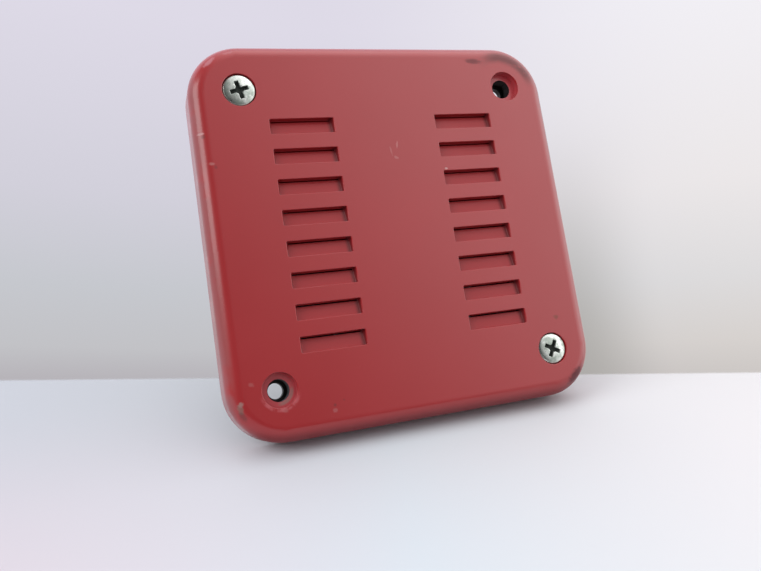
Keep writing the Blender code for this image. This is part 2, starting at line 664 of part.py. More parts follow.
def frame_screws():
    length = FLANGE_Y[1] + GAP - PLATE_Y[0] - GAP
    mesh = small_screw_mesh("frame_screw", length)
    for number, (x, z) in enumerate(clamp_places(), start=1):
        add_part(f"frame_screw_{number}", mesh, BRIGHT_ZINC, (x, FLANGE_Y[1] + GAP, z),
                 (0, 0, pi))


def diaphragm_parts():
    """Diaphragm, centre hardware and armature, which move together along Y."""
    bead = [(BEAD_R + BEAD_HALF_WIDTH * cos(radians(a)), BEAD_HEIGHT * sin(radians(a)))
            for a in range(0, 181, 60)]
    bore = STUD_D / 2 + SCREW_CLEARANCE
    rear = [(radius, DIAPHRAGM_Y[1] + rise) for radius, rise in reversed(bead)]
    front = [(radius, DIAPHRAGM_Y[0] + rise) for radius, rise in bead]
    profile = [(bore, DIAPHRAGM_Y[1]), *rear, (RING_R, DIAPHRAGM_Y[1]),
               (RING_R, DIAPHRAGM_Y[0]), *front, (bore, DIAPHRAGM_Y[0])]
    diaphragm = turned("diaphragm", profile, SPRING_STEEL, SMOOTH_STEPS, ring=True)
    boolean(diaphragm, bpy.data.objects["clamp_holes"])
    washers = [turned("centre_washer_" + name, ring_profile(bore, WASHER_D / 2, y),
                      BRIGHT_ZINC, MEDIUM_STEPS, ring=True)
               for name, y in (("front", FRONT_WASHER_Y), ("rear", REAR_WASHER_Y))]
    centre_nut = nut("centre_nut", CENTRE_NUT_FLATS, STUD_D + 2 * SCREW_CLEARANCE,
                     CENTRE_NUT_Y, BRIGHT_ZINC)
    stud_y = (CENTRE_NUT_Y[0] - STUD_FRONT, ARMATURE_Y[1])
    stud = turned("armature_stud", [(0, stud_y[1]), (STUD_D / 2, stud_y[1]),
                                    (STUD_D / 2, stud_y[0]), (0, stud_y[0])], STEEL,
                  SMALL_STEPS)
    armature = turned("armature", [(ARMATURE_R, ARMATURE_Y[1]), (ARMATURE_R, ARMATURE_Y[0]),
                                   (HUB_D / 2, HUB_Y[1]), (HUB_D / 2, HUB_Y[0]),
                                   (bore, HUB_Y[0]), (bore, ARMATURE_Y[1])], SOFT_IRON,
                      MEDIUM_STEPS, ring=True)
    group("diaphragm_assembly", (0, DIAPHRAGM_Y[0], 0),
          [diaphragm, *washers, centre_nut, stud, armature])


def magnet_yoke():
    half_width = YOKE_WIDTH / 2
    yoke = box("magnet_yoke", (-half_width, half_width), (POLE_Y, YOKE_Y[1]),
               (-YOKE_HALF, YOKE_HALF), SOFT_IRON)
    inside = YOKE_HALF - YOKE_THICKNESS
    boolean(yoke, box_cutter("yoke_inside", (-half_width - MARGIN, half_width + MARGIN),
                             (POLE_Y - MARGIN, YOKE_Y[0]), (-inside, inside)))
    drill(yoke, "yoke_hole", [(0, 0)], CORE_SCREW_D / 2 + SCREW_CLEARANCE, YOKE_Y)


def magnet_core():
    bore = CORE_SCREW_D / 2 + SCREW_CLEARANCE
    bottom = CORE_Y[1] - CORE_SCREW_GRIP - MARGIN
    turned("magnet_core", [(0, bottom), (bore, bottom), (bore, CORE_Y[1]),
                           (CORE_D / 2, CORE_Y[1]), (CORE_D / 2, CORE_Y[0]),
                           (0, CORE_Y[0])], SOFT_IRON, MEDIUM_STEPS)


def core_screw():
    head_y = behind(BACK_Y, CORE_HEAD_HEIGHT)
    head = rods_mesh("core_screw", [(0, 0)], CORE_HEAD_FLATS / sqrt(3), head_y, steps=6)
    bolt = add_part("core_screw", head, BRIGHT_ZINC)
    shank_y = (CORE_Y[1] - CORE_SCREW_GRIP, (head_y[0] + head_y[1]) / 2)
    shank = rods_mesh("core_screw_shank", [(0, 0)], CORE_SCREW_D / 2, shank_y)
    boolean(bolt, add_cutter("core_screw_shank", shank), "UNION")


def coil():
    front, rear = BOBBIN_Y
    bore = CORE_D / 2 + GAP
    turned("coil_bobbin", [(BOBBIN_R, rear), (BOBBIN_R, rear - BOBBIN_WALL),
                           (BOBBIN_HUB_R, rear - BOBBIN_WALL),
                           (BOBBIN_HUB_R, front + BOBBIN_WALL),
                           (BOBBIN_R, front + BOBBIN_WALL), (BOBBIN_R, front),
                           (bore, front), (bore, rear)], NYLON, MEDIUM_STEPS, ring=True)
    wound_y = (front + BOBBIN_WALL + GAP, rear - BOBBIN_WALL - GAP)
    turned("coil_winding", ring_profile(BOBBIN_HUB_R + GAP, COIL_R, wound_y),
           ENAMELLED_COPPER, MEDIUM_STEPS, ring=True)


def rivet(name, head_y, end_y, head_d, at, finish):
    """A round head along Y with a thin shank that runs on from it to end_y."""
    head_r = head_d / 2
    shank_r = RIVET_D / 2
    if end_y > head_y[1]:
        profile = [(0, end_y), (shank_r, end_y), (shank_r, head_y[1]), (head_r, head_y[1]),
                   (head_r, head_y[0]), (0, head_y[0])]
    else:
        profile = [(0, head_y[1]), (head_r, head_y[1]), (head_r, head_y[0]),
                   (shank_r, head_y[0]), (shank_r, end_y), (0, end_y)]
    return turned(name, profile, finish, SMALL_STEPS, at)


def breaker_block():
    height = (-BLOCK_HALF_HEIGHT, BLOCK_HALF_HEIGHT)
    block = box("breaker_block", BLOCK_X, BLOCK_Y, height, PHENOLIC)
    round_edges(block, BLOCK_CHAMFER, 1)
    drill(block, "block_holes", STACK_PLACES, SMALL_HOLE_R, BLOCK_Y)
    insulator = box("contact_insulator", BLOCK_X, INSULATOR_Y, height, PHENOLIC)
    drill(insulator, "insulator_holes", STACK_PLACES, SMALL_HOLE_R, INSULATOR_Y)
    mesh = small_screw_mesh("breaker_screw", BACK_Y[1] - GAP - (BRACKET_Y[0] - GAP))
    for number, (x, z) in enumerate(STACK_PLACES, start=1):
        add_part(f"breaker_screw_{number}", mesh, BRIGHT_ZINC, (x, BRACKET_Y[0] - GAP, z))


def fixed_contact():
    bracket = box("contact_bracket", (ARMATURE_R + BRACKET_CLEARANCE, BLOCK_X[1]), BRACKET_Y,
                  (-BLOCK_HALF_HEIGHT, BLOCK_HALF_HEIGHT), BRASS)
    drill(bracket, "bracket_screw_holes", STACK_PLACES, SMALL_HOLE_R, BRACKET_Y)
    drill(bracket, "bracket_rivet_hole", [(CONTACT_X, 0)], RIVET_D / 2 + SCREW_CLEARANCE,
          BRACKET_Y)
    rivet("fixed_contact", FIXED_CONTACT_Y, BRACKET_Y[0] - RIVET_STAND, CONTACT_D,
          (CONTACT_X, 0), TUNGSTEN)


def contact_arm():
    """The spring arm that the armature pushes open, with its contact and its pusher."""
    root_x = (BLOCK_X[0] + ARM_ROOT_INSET, BLOCK_X[1] - ARM_ROOT_INSET)
    arm = box("contact_arm", root_x, ARM_Y, (-BLOCK_HALF_HEIGHT, BLOCK_HALF_HEIGHT), BRASS)
    reach = box_cutter("arm_reach", (PUSHER_X - PUSHER_D / 2, STACK_X), ARM_Y,
                       (-ARM_HALF_WIDTH, ARM_HALF_WIDTH))
    boolean(arm, reach, "UNION")
    drill(arm, "arm_screw_holes", STACK_PLACES, SMALL_HOLE_R + ARM_SWING, ARM_Y)
    rivets = [(PUSHER_X, 0), (CONTACT_X, 0)]
    drill(arm, "arm_rivet_holes", rivets, RIVET_D / 2 + SCREW_CLEARANCE, ARM_Y)
    end_y = ARM_Y[1] + RIVET_STAND
    pusher = rivet("contact_pusher", PUSHER_Y, end_y, PUSHER_D, rivets[0], PHENOLIC)
    contact = rivet("moving_contact", MOVING_CONTACT_Y, end_y, CONTACT_D, rivets[1], TUNGSTEN)
    group("contact_breaker", (STACK_X, (ARM_Y[0] + ARM_Y[1]) / 2, 0), [arm, pusher, contact])


def adjuster():
    tip_y = BRACKET_Y[1] + GAP
    mesh = small_screw_mesh("adjusting_screw", ADJUSTER_HEAD_Y[0] - tip_y)
    add_part("adjusting_screw", mesh, BRASS, (ADJUSTER_X, ADJUSTER_HEAD_Y[0], ADJUSTER_Z),
             (0, 0, pi))
    nut("adjusting_lock_nut", ADJUSTER_NUT_FLATS, 2 * SMALL_HOLE_R, ADJUSTER_NUT_Y,
        BRASS, (ADJUSTER_X, ADJUSTER_Z))


def terminal_block():
    z = (TERMINAL_LOW_Z, TERMINAL_LOW_Z + TERMINAL_HEIGHT)
    block = box("terminal_block", (-TERMINAL_HALF, TERMINAL_HALF), TERMINAL_Y, z, PHENOLIC)
    round_edges(block, TERMINAL_CHAMFER, 1)
    length = TERMINAL_HALF + EAR_LENGTH
    ears = box_cutter("terminal_ears", (-length, length), EAR_Y,
                      (TERMINAL_Z - EAR_HEIGHT / 2, TERMINAL_Z + EAR_HEIGHT / 2))
    boolean(block, ears, "UNION")
    between = [(a + b) / 2 for a, b in zip(TERMINAL_X, TERMINAL_X[1:])]
    for number, x in enumerate(between, start=1):
        barrier = box_cutter(f"barrier_{number}",
                             (x - BARRIER_THICKNESS / 2, x + BARRIER_THICKNESS / 2),
                             (TERMINAL_Y[1] - MARGIN, TERMINAL_Y[1] + BARRIER_HEIGHT),
                             (TERMINAL_Z - BARRIER_LENGTH / 2, TERMINAL_Z + BARRIER_LENGTH / 2))
        boolean(block, barrier, "UNION")
    wells_y = (TERMINAL_Y[1] - TERMINAL_SCREW_DEPTH, TERMINAL_Y[1] + MARGIN)
    wells = rods_mesh("terminal_wells", [(x, TERMINAL_Z) for x in TERMINAL_X],
                      TERMINAL_SCREW_D / 2 + SCREW_CLEARANCE, wells_y)
    boolean(block, add_cutter("terminal_wells", wells))
    drill(block, "ear_holes", EAR_PLACES, SMALL_HOLE_R, EAR_Y)
    mesh = small_screw_mesh("block_screw", EAR_Y[1] + GAP - (BACK_Y[0] + GAP))
    for number, (x, place_z) in enumerate(EAR_PLACES, start=1):
        add_part(f"block_screw_{number}", mesh, BRIGHT_ZINC, (x, EAR_Y[1] + GAP, place_z),
                 (0, 0, pi))


def terminals():
    tip_y = TERMINAL_Y[1] - TERMINAL_SCREW_DEPTH + GAP
    mesh = screw_mesh("terminal_screw", BRASS, TERMINAL_SCREW_D, TERMINAL_HEAD_D,
                      TERMINAL_HEAD_HEIGHT, TERMINAL_HEAD_Y[0] - tip_y, slot=TERMINAL_SLOT)
    low, high = TERMINAL_Z - CLAMP_LENGTH / 2, TERMINAL_Z + CLAMP_LENGTH / 2
    for number, x in enumerate(TERMINAL_X, start=1):
        clamp = box(f"terminal_clamp_{number}", (x - CLAMP_WIDTH / 2, x + CLAMP_WIDTH / 2),
                    CLAMP_Y, (low, high), BRASS)
        tag = box_cutter(f"terminal_tag_{number}", (x - TAG_WIDTH / 2, x + TAG_WIDTH / 2),
                         CLAMP_Y, (high - MARGIN, high + TAG_LENGTH))
        boolean(clamp, tag, "UNION")
        drill(clamp, f"clamp_hole_{number}", [(x, TERMINAL_Z)],
              TERMINAL_SCREW_D / 2 + SCREW_CLEARANCE, CLAMP_Y)
        add_part(f"terminal_screw_{number}", mesh, BRASS, (x, TERMINAL_HEAD_Y[0], TERMINAL_Z),
                 (0, 0, pi))


def capacitor():
    """Spark suppressor on the side of the breaker block, with leads to both contacts."""
    middle = (BLOCK_Y[0] + BLOCK_Y[1]) / 2
    y = (middle - CAPACITOR_LENGTH / 2, middle + CAPACITOR_LENGTH / 2)
    low = BLOCK_HALF_HEIGHT + GAP
    body = box("suppressor_capacitor", BLOCK_X, y, (low, low + CAPACITOR_THICKNESS),
               CAPACITOR_CASE)
    round_edges(body, CAPACITOR_EDGE_R)
    lead_z = low + CAPACITOR_LEAD_D
    spread = BLOCK_WIDTH / 4
    for name, x, end_y in (("a", STACK_X - spread, BRACKET_Y[0]),
                           ("b", STACK_X + spread, ARM_Y[0])):
        lead = rods_mesh("capacitor_lead_" + name, [(x, lead_z)], CAPACITOR_LEAD_D / 2,
                         (end_y, middle), 8)
        boolean(body, add_cutter("capacitor_lead_" + name, lead), "UNION")


def diode():
    """Series diode between the tags of the first two terminals, its leads along X."""
    first, second = TERMINAL_X[:2]
    lead_r = DIODE_LEAD_D / 2
    half = DIODE_LENGTH / 2
    reach = (second - first) / 2
    made = turned("series_diode", [(0, reach), (lead_r, reach), (lead_r, half),
                                   (DIODE_D / 2, half), (DIODE_D / 2, -half),
                                   (lead_r, -half), (lead_r, -reach), (0, -reach)],
                  DIODE_CASE, SMALL_STEPS)
    made.rotation_euler = (0, pi / 2, 0)
    made.location = ((first + second) / 2, CLAMP_Y[1] + GAP + lead_r, TAG_Z)


def grommet():
    groove = GROMMET_HOLE_D / 2 - GAP
    rear = BACK_Y[1] + GAP
    front = BACK_Y[0] - GAP
    turned("lead_grommet", [(GROMMET_LIP_R, rear + GROMMET_LIP), (GROMMET_LIP_R, rear),
                            (groove, rear), (groove, front), (GROMMET_LIP_R, front),
                            (GROMMET_LIP_R, front - GROMMET_LIP),
                            (GROMMET_BORE_D / 2, front - GROMMET_LIP),
                            (GROMMET_BORE_D / 2, rear + GROMMET_LIP)], RUBBER, SMALL_STEPS,
           (0, GROMMET_Z), ring=True)


def wires():
    """Insulated leads: two go out through the grommet and one runs from coil to arm."""
    coil_r = COIL_R + GAP + WIRE_D / 2
    coil_x, coil_z = coil_r * cos(COIL_LEAD_ANGLE), coil_r * sin(COIL_LEAD_ANGLE)
    coil_y = BOBBIN_Y[1] - COIL_LEAD_SETBACK
    side_x = WIRE_D / 2 + GAP
    front_y = BACK_Y[0] - GAP - GROMMET_LIP - WIRE_D
    rear_y = BACK_Y[1] + GAP + GROMMET_LIP + WIRE_D
    lead_y = CLAMP_Y[1] + GAP + WIRE_D / 2
    lead_z = TAG_Z + DIODE_LEAD_D / 2 + GAP
    tag_x = TERMINAL_PITCH / 2
    block_z = BLOCK_HALF_HEIGHT + GAP + WIRE_D / 2
    from_coil = [(-coil_x, coil_y, coil_z),
                 (-coil_x, coil_y + 2 * WIRE_D, coil_z + 4 * WIRE_D),
                 (-0.7 * coil_x, front_y - 2.5 * WIRE_D, GROMMET_Z - 5 * WIRE_D)]
    from_bracket = [(CONTACT_X + WIRE_D / 2, (BRACKET_Y[0] + BRACKET_Y[1]) / 2, block_z),
                    (CONTACT_X - WIRE_D / 2, BLOCK_Y[0] + 2.5 * WIRE_D, block_z + 4.5 * WIRE_D),
                    (coil_x, front_y - 4 * WIRE_D, GROMMET_Z - 5.5 * WIRE_D)]
    for name, side, start, finish in (("coil_lead", -1, from_coil, RED_WIRE),
                                      ("breaker_lead", 1, from_bracket, BLACK_WIRE)):
        bent_x, bent_z = side_x + WIRE_D / 2, GROMMET_Z - WIRE_D / 2
        wire(name, [*start, (side * bent_x, front_y - WIRE_D, bent_z),
                    (side * side_x, front_y, GROMMET_Z), (side * side_x, rear_y, GROMMET_Z),
                    (side * bent_x, rear_y + WIRE_D, bent_z),
                    (side * tag_x, lead_y, lead_z + 2.5 * WIRE_D),
                    (side * tag_x, lead_y, lead_z)], finish)
    wire("arm_lead", [(coil_x, coil_y, -coil_z),
                      (coil_x + 2.5 * WIRE_D, coil_y - 2 * WIRE_D, -coil_z - 2.5 * WIRE_D),
                      (CONTACT_X, BLOCK_Y[0] + 4 * WIRE_D, -block_z - 2.5 * WIRE_D),
                      (STACK_X - WIRE_D, ARM_Y[1], -block_z)], BLACK_WIRE)


clear_scene()
parts = new_collection("alarm_siren")
cutters = new_collection("cutters")

RED_PAINT = material("red_paint", (0.42, 0.045, 0.05), 0.42, 0.0)
BRIGHT_ZINC = material("bright_zinc", (0.72, 0.73, 0.74), 0.28, 1.0)
BLACK_PLATE = material("black_plate", (0.03, 0.03, 0.03), 0.45, 0.0)
CAST_ALUMINIUM = material("cast_aluminium", (0.52, 0.53, 0.54), 0.50, 1.0)
SOFT_IRON = material("soft_iron", (0.33, 0.33, 0.34), 0.45, 1.0)
SPRING_STEEL = material("spring_steel", (0.45, 0.46, 0.48), 0.32, 1.0)
STEEL = material("steel", (0.56, 0.57, 0.58), 0.35, 1.0)
BRASS = material("brass", (0.72, 0.52, 0.22), 0.32, 1.0)
TUNGSTEN = material("tungsten", (0.40, 0.40, 0.42), 0.35, 1.0)
ENAMELLED_COPPER = material("enamelled_copper", (0.42, 0.13, 0.05), 0.30, 0.6)
FOAM = material("foam", (0.03, 0.03, 0.03), 0.90, 0.0)
FIBRE = material("fibre", (0.28, 0.16, 0.09), 0.75, 0.0)
NYLON = material("nylon", (0.80, 0.78, 0.70), 0.45, 0.0)
PHENOLIC = material("phenolic", (0.05, 0.035, 0.03), 0.38, 0.0)
CAPACITOR_CASE = material("capacitor_case", (0.62, 0.38, 0.06), 0.35, 0.0)
DIODE_CASE = material("diode_case", (0.03, 0.03, 0.03), 0.35, 0.0)
RUBBER = material("rubber", (0.025, 0.025, 0.025), 0.70, 0.0)
RED_WIRE = material("red_wire", (0.50, 0.03, 0.03), 0.45, 0.0)
BLACK_WIRE = material("black_wire", (0.03, 0.03, 0.03), 0.45, 0.0)

clamp_holes()
front_cover()
cover_fasteners()
mounting_plate()
wall_gasket()
diaphragm_gaskets()
horn_frame()
frame_screws()
diaphragm_parts()
magnet_yoke()
magnet_core()
core_screw()
coil()
breaker_block()
fixed_contact()
contact_arm()
adjuster()
terminal_block()
terminals()
capacitor()
diode()
grommet()
wires()
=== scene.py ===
"""Looks of the wall-mounted alarm siren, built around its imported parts.

Units are metres. +Z is up, the louvred face looks along -Y and y = 0 is the wall plane.
Round pieces lie along Y. Front and rear are a piece's two ends along Y.
"""

import json
from math import ceil, cos, pi, radians, sin, sqrt

import bmesh
import bpy
from mathutils import Matrix, Vector

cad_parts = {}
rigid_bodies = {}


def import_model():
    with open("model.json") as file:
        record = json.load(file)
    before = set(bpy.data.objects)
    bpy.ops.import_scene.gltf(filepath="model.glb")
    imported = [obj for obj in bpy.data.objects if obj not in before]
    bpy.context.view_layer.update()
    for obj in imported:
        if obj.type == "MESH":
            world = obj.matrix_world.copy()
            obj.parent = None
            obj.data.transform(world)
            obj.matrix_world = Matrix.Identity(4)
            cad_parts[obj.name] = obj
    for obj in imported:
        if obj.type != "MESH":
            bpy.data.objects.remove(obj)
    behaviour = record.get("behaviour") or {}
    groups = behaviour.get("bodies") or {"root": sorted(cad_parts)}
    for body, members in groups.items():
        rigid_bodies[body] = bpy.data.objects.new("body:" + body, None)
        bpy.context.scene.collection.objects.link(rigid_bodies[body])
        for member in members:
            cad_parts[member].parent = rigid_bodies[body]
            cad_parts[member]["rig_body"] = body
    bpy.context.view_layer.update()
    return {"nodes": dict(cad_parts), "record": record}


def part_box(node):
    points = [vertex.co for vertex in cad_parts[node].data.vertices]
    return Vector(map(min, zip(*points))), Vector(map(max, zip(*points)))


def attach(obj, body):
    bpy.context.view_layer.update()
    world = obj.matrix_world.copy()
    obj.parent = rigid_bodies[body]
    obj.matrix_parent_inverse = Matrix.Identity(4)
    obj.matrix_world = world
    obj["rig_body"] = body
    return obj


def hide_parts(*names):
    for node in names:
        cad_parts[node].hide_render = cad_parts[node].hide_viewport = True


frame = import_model()

MM = 0.001
WELD = 0.002 * MM            # vertices closer than this are one
MARGIN = 1.0 * MM            # how far a cutting tool runs past what it cuts
GAP = 0.3 * MM               # between two pieces that seat on each other

# View
CAMERA_PLACE = Vector((-83.98, -218.44, -46.63)) * MM
CAMERA_AIM = Vector((0.33402, 0.93389, 0.12762))
CAMERA_ROLL = 8.89           # degrees
CAMERA_LENS = 34.14
CAMERA_SENSOR = 36.0

# Table top, which the siren leans back from
TABLE_TOUCH_Z = -60.35 * MM  # height at y = 0
TABLE_RISE = 0.491
TABLE_EDGE_Y = 31.0 * MM     # its rear edge at x = 0
TABLE_EDGE_TURN = -17.1      # degrees between its rear edge and the X axis
TABLE_SIZE = 3.0

# Cover
FIXING = 45.245 * MM
COVER_CORNER_R = 16.6 * MM
COVER_EDGE_R = 4.76 * MM
COVER_RIM = 2.2 * MM
COVER_FACE = 3.2 * MM
COVER_INNER_R = 1.6 * MM
RECESS_R = 5.15 * MM
RECESS_DEPTH = 2.6 * MM
SEAT_HOLE_R = 3.3 * MM
BOSS_R = 6.5 * MM
FACE_SOFTNESS = 0.4 * MM     # radius that the enamel leaves on the face's rims
POCKET_SOFTNESS = 0.35 * MM

# Louvres
LOUVRE_ROWS = 8
LOUVRE_PITCH = 9.525 * MM
LOUVRE_HEIGHT = 4.76 * MM
LOUVRE_LENGTH = 20.3 * MM
LOUVRE_INNER_X = 17.2 * MM
LOUVRE_DEPTH = 2.1 * MM
LOUVRE_LOWER_DEPTH = 1.2 * MM
LOUVRE_DRAFT = 0.6 * MM
SLIT_HEIGHT = 0.5 * MM
SLIT_LEDGE = 0.15 * MM

# Plate, foam and horn frame
PLATE_CORNER_R = 12.3 * MM
SOUND_HOLE_R = 40.0 * MM
PLATE_HOLE_R = 2.35 * MM
PLATE_SOFTNESS = 0.12 * MM
FOAM_INSIDE = 51.47 * MM
FOAM_SOFTNESS = 0.45 * MM
GASKET_SOFTNESS = 0.06 * MM
FRAME_WALL = 2.0 * MM
FRAME_R = 41.97 * MM
CLAMP_HOLE_R = 1.8 * MM      # passes a small screw
WINDOW_WIDTH = 43.0 * MM
WINDOW_FRONT = 5.0 * MM      # from the flange's rear to the windows
WINDOW_REAR = 4.2 * MM       # from the windows to the back wall
WINDOW_CORNER_R = 4.0 * MM
BACK_WINDOW = (12.0 * MM, 20.0 * MM)           # along and across the radius
BACK_WINDOW_R = 28.0 * MM
BACK_WINDOW_CORNER_R = 3.0 * MM
FLANGE_FOOT_R = 1.0 * MM
FRAME_SOFTNESS = 0.22 * MM
GROMMET_HOLE_R = 4.0 * MM
CORE_HOLE_R = 2.8 * MM

# Screws, as (head radius, head height, shoulder share, shank radius, thread pitch)
COVER_SCREW = (4.85 * MM, 2.3 * MM, 0.78, 2.05 * MM, 0.794 * MM)
SMALL_SCREW = (2.8 * MM, 2.0 * MM, 0.35, 1.5 * MM, 0.5 * MM)
TERMINAL_SCREW = (3.5 * MM, 2.2 * MM, 0.35, 1.75 * MM, 0.6 * MM)
CROSS_RECESS = (6.6 * MM, 1.5 * MM, 1.5 * MM)  # length, width and depth
CROSS_TAPER = (0.72, 0.8)                      # its floor's share of length and width
HEAD_SOFTNESS = 0.08 * MM
SMALL_SLOT = (0.9 * MM, 1.0 * MM)              # width and depth
TERMINAL_SLOT = (1.1 * MM, 1.2 * MM)
UPPER_LEFT_TURN = 15.0
LOWER_RIGHT_TURN = -28.0
COVER_NUT = (8.7 * MM, 2.35 * MM)              # across flats and bore radius
CENTRE_NUT = (7.0 * MM, 2.3 * MM)
LOCK_NUT = (5.5 * MM, 1.8 * MM)
CORE_HEAD_FLATS = 8.0 * MM
CORE_HEAD_HEIGHT = 3.5 * MM
CORE_SHANK_R = 2.5 * MM
CORE_SHANK_SINK = 0.5 * MM   # how far the shank runs into the head
CORE_PITCH = 0.8 * MM
THREAD_DEPTH = 0.55          # as a share of the pitch
THREAD_CLEARANCE = 0.2 * MM
HEXAGON_FACE = 0.96          # flat end's diameter as a share of the flats
HEXAGON_SLOPE = 0.55
NUT_FLARE = 0.3 * MM
NUT_SOFTNESS = 0.06 * MM

# Diaphragm and what moves with it
STUD_R = 2.0 * MM
STUD_PITCH = 0.7 * MM
STUD_HOLE_R = 2.3 * MM
BEAD_R = 33.0 * MM
BEAD_HALF_WIDTH = 3.0 * MM
BEAD_HEIGHT = 0.8 * MM
CLAMPED_RIM = 0.15 * MM      # the sheet's thickness between the gaskets
RIM_INSET = 1.0 * MM         # from the frame's outside to where the rim thins
RIM_SLOPE = 0.4 * MM
WASHER_SOFTNESS = 0.18 * MM
ARMATURE_THICKNESS = 3.0 * MM
ARMATURE_SOFTNESS = 0.3 * MM
HUB_R = 5.0 * MM

# Electromagnet
YOKE_THICKNESS = 3.0 * MM
YOKE_SOFTNESS = 0.2 * MM
CORE_R = 5.0 * MM
CORE_BORE_DEPTH = 10.6 * MM
CORE_BORE_CONE = 0.8 * MM    # depth of the cone that the drill leaves
CORE_CHAMFER = 0.35 * MM
BOBBIN_WALL = 1.2 * MM
BOBBIN_SOFTNESS = 0.25 * MM
COIL_WIRE = 0.5 * MM

# Contact breaker
ARM_HALF_WIDTH = 2.6 * MM
ARM_ROOT_INSET = 1.0 * MM
ARM_CORNER_R = 1.2 * MM
ARM_SOFTNESS = 0.05 * MM
ARM_HOLE_EXTRA = 0.15 * MM   # more room round the screws than in the rest of the stack
STACK_EDGE_R = 0.6 * MM
STACK_SOFTNESS = 0.1 * MM
INSULATOR_CORNER_R = 0.8 * MM
INSULATOR_SOFTNESS = 0.08 * MM
BRACKET_CORNER_R = 1.6 * MM
RIVET_R = 0.8 * MM
RIVET_STAND = 0.45 * MM
RIVET_UPSET_R = 1.4 * MM
FIXED_HEAD = (1.6 * MM, 1.8 * MM)              # radius and height
MOVING_HEAD = (1.6 * MM, 0.8 * MM)
PUSHER_HEAD = (1.5 * MM, 1.4 * MM)

# Terminals
EAR_LENGTH = 5.5 * MM
EAR_HEIGHT = 8.0 * MM
EAR_THICKNESS = 3.0 * MM
EAR_CORNER_R = 2.5 * MM
BLOCK_EDGE_R = 0.7 * MM
BLOCK_SOFTNESS = 0.12 * MM
BARRIER = (1.4 * MM, 4.0 * MM, 11.6 * MM)      # thickness, height and length
BARRIER_EDGE_R = 0.45 * MM
WELL_DEPTH = 5.0 * MM
WELL_R = 2.05 * MM
TAG_WIDTH = 3.0 * MM
TAG_LENGTH = 4.0 * MM
CLAMP_CORNER_R = 0.9 * MM
CLAMP_SOFTNESS = 0.14 * MM

# Small electrical parts
CAPACITOR_LENGTH = 12.0 * MM
CAPACITOR_EDGE_R = 0.9 * MM
LEAD_R = 0.4 * MM
LEAD_CLEAR = 0.02 * MM       # from a body's end to where its lead is tinned
DIODE_LENGTH = 5.2 * MM
DIODE_EDGE = 0.3 * MM
WIRE_R = 0.8 * MM
CONDUCTOR_R = 0.45 * MM
BARE_LENGTH = 1.6 * MM
STRIP_STEP = 0.06 * MM       # along the lead, from bare conductor to full insulation
GROMMET_LIP = 1.2 * MM
GROMMET_BORE_R = 2.3 * MM
GROMMET_SOFTNESS = 0.35 * MM
COIL_LEAD_ANGLE = radians(30)
COIL_LEAD_SETBACK = 8.0 * MM

record = frame["record"]
SLOT = {part["node"]: part["material_slot"] for part in record["subparts"]}


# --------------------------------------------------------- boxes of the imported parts

class Span:
    """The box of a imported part: its ends, middle and size along each axis."""

    def __init__(self, node):
        self.low, self.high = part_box(node)
        self.middle = (self.low + self.high) / 2
        self.size = self.high - self.low
        self.front, self.rear = self.low.y, self.high.y
        self.radius = self.size.x / 2
        self.place = (self.middle.x, self.middle.z)


def numbered(name, count):
    """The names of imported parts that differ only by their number."""
    return [f"{name}_{number}" for number in range(1, count + 1)]


cover_span = Span("front_cover")
plate_span = Span("mounting_plate")
horn_span = Span("horn_frame")
FACE_Y = cover_span.front
SEAT_Y = FACE_Y + RECESS_DEPTH
FACE_REAR_Y = FACE_Y + COVER_FACE
BACK_REAR_Y = horn_span.rear
BACK_FRONT_Y = BACK_REAR_Y - FRAME_WALL
CORNERS = [(sx * FIXING, sz * FIXING) for sx, sz in ((-1, 1), (1, 1), (1, -1), (-1, -1))]
UPPER_LEFT, LOWER_RIGHT = CORNERS[0], CORNERS[2]
LOUVRE_TOP = ((LOUVRE_ROWS - 1) * LOUVRE_PITCH + LOUVRE_HEIGHT) / 2
FRAME_SCREWS = numbered("frame_screw", 6)
BREAKER_SCREWS = numbered("breaker_screw", 2)
BLOCK_SCREWS = numbered("block_screw", 2)
TERMINAL_SCREWS = numbered("terminal_screw", 4)
CLAMP_PLACES = [Span(node).place for node in FRAME_SCREWS]
STACK_PLACES = [Span(node).place for node in BREAKER_SCREWS]
EAR_PLACES = [Span(node).place for node in BLOCK_SCREWS]
TERMINAL_PLACES = [Span(node).place for node in TERMINAL_SCREWS]
CONTACT_PLACE = Span("moving_contact").place
PUSHER_PLACE = Span("contact_pusher").place
ADJUSTER_PLACE = Span("adjusting_screw").place


# ------------------------------------------------------------------- shader tools

def tint(red, green, blue):
    """A display colour, 0 to 255 each, as the linear colour that a shader takes."""
    linear = [((c / 255 + 0.055) / 1.055) ** 2.4 if c > 10 else c / 3294 for c in
              (red, green, blue)]
    return (*linear, 1.0)


class Value:
    """An output socket whose maths is written as a plain expression."""

    def __init__(self, wiring, socket):
        self.wiring = wiring
        self.socket = socket

    def maths(self, operation, *values):
        sockets = dict(enumerate(values))
        return self.wiring.node("ShaderNodeMath", {"operation": operation}, sockets)

    def __add__(self, other):
        return self.maths("ADD", self, other)

    def __sub__(self, other):
        return self.maths("SUBTRACT", self, other)

    def __rsub__(self, other):
        return self.maths("SUBTRACT", other, self)

    def __mul__(self, other):
        return self.maths("MULTIPLY", self, other)

    def __truediv__(self, other):
        return self.maths("DIVIDE", self, other)

    def __pow__(self, other):
        return self.maths("POWER", self, other)

    def __gt__(self, other):
        return self.maths("GREATER_THAN", self, other)

    def __lt__(self, other):
        return self.maths("LESS_THAN", self, other)

    def __abs__(self):
        return self.maths("ABSOLUTE", self)

    def larger(self, other):
        return self.maths("MAXIMUM", self, other)

    def smaller(self, other):
        return self.maths("MINIMUM", self, other)

    __radd__ = __add__
    __rmul__ = __mul__


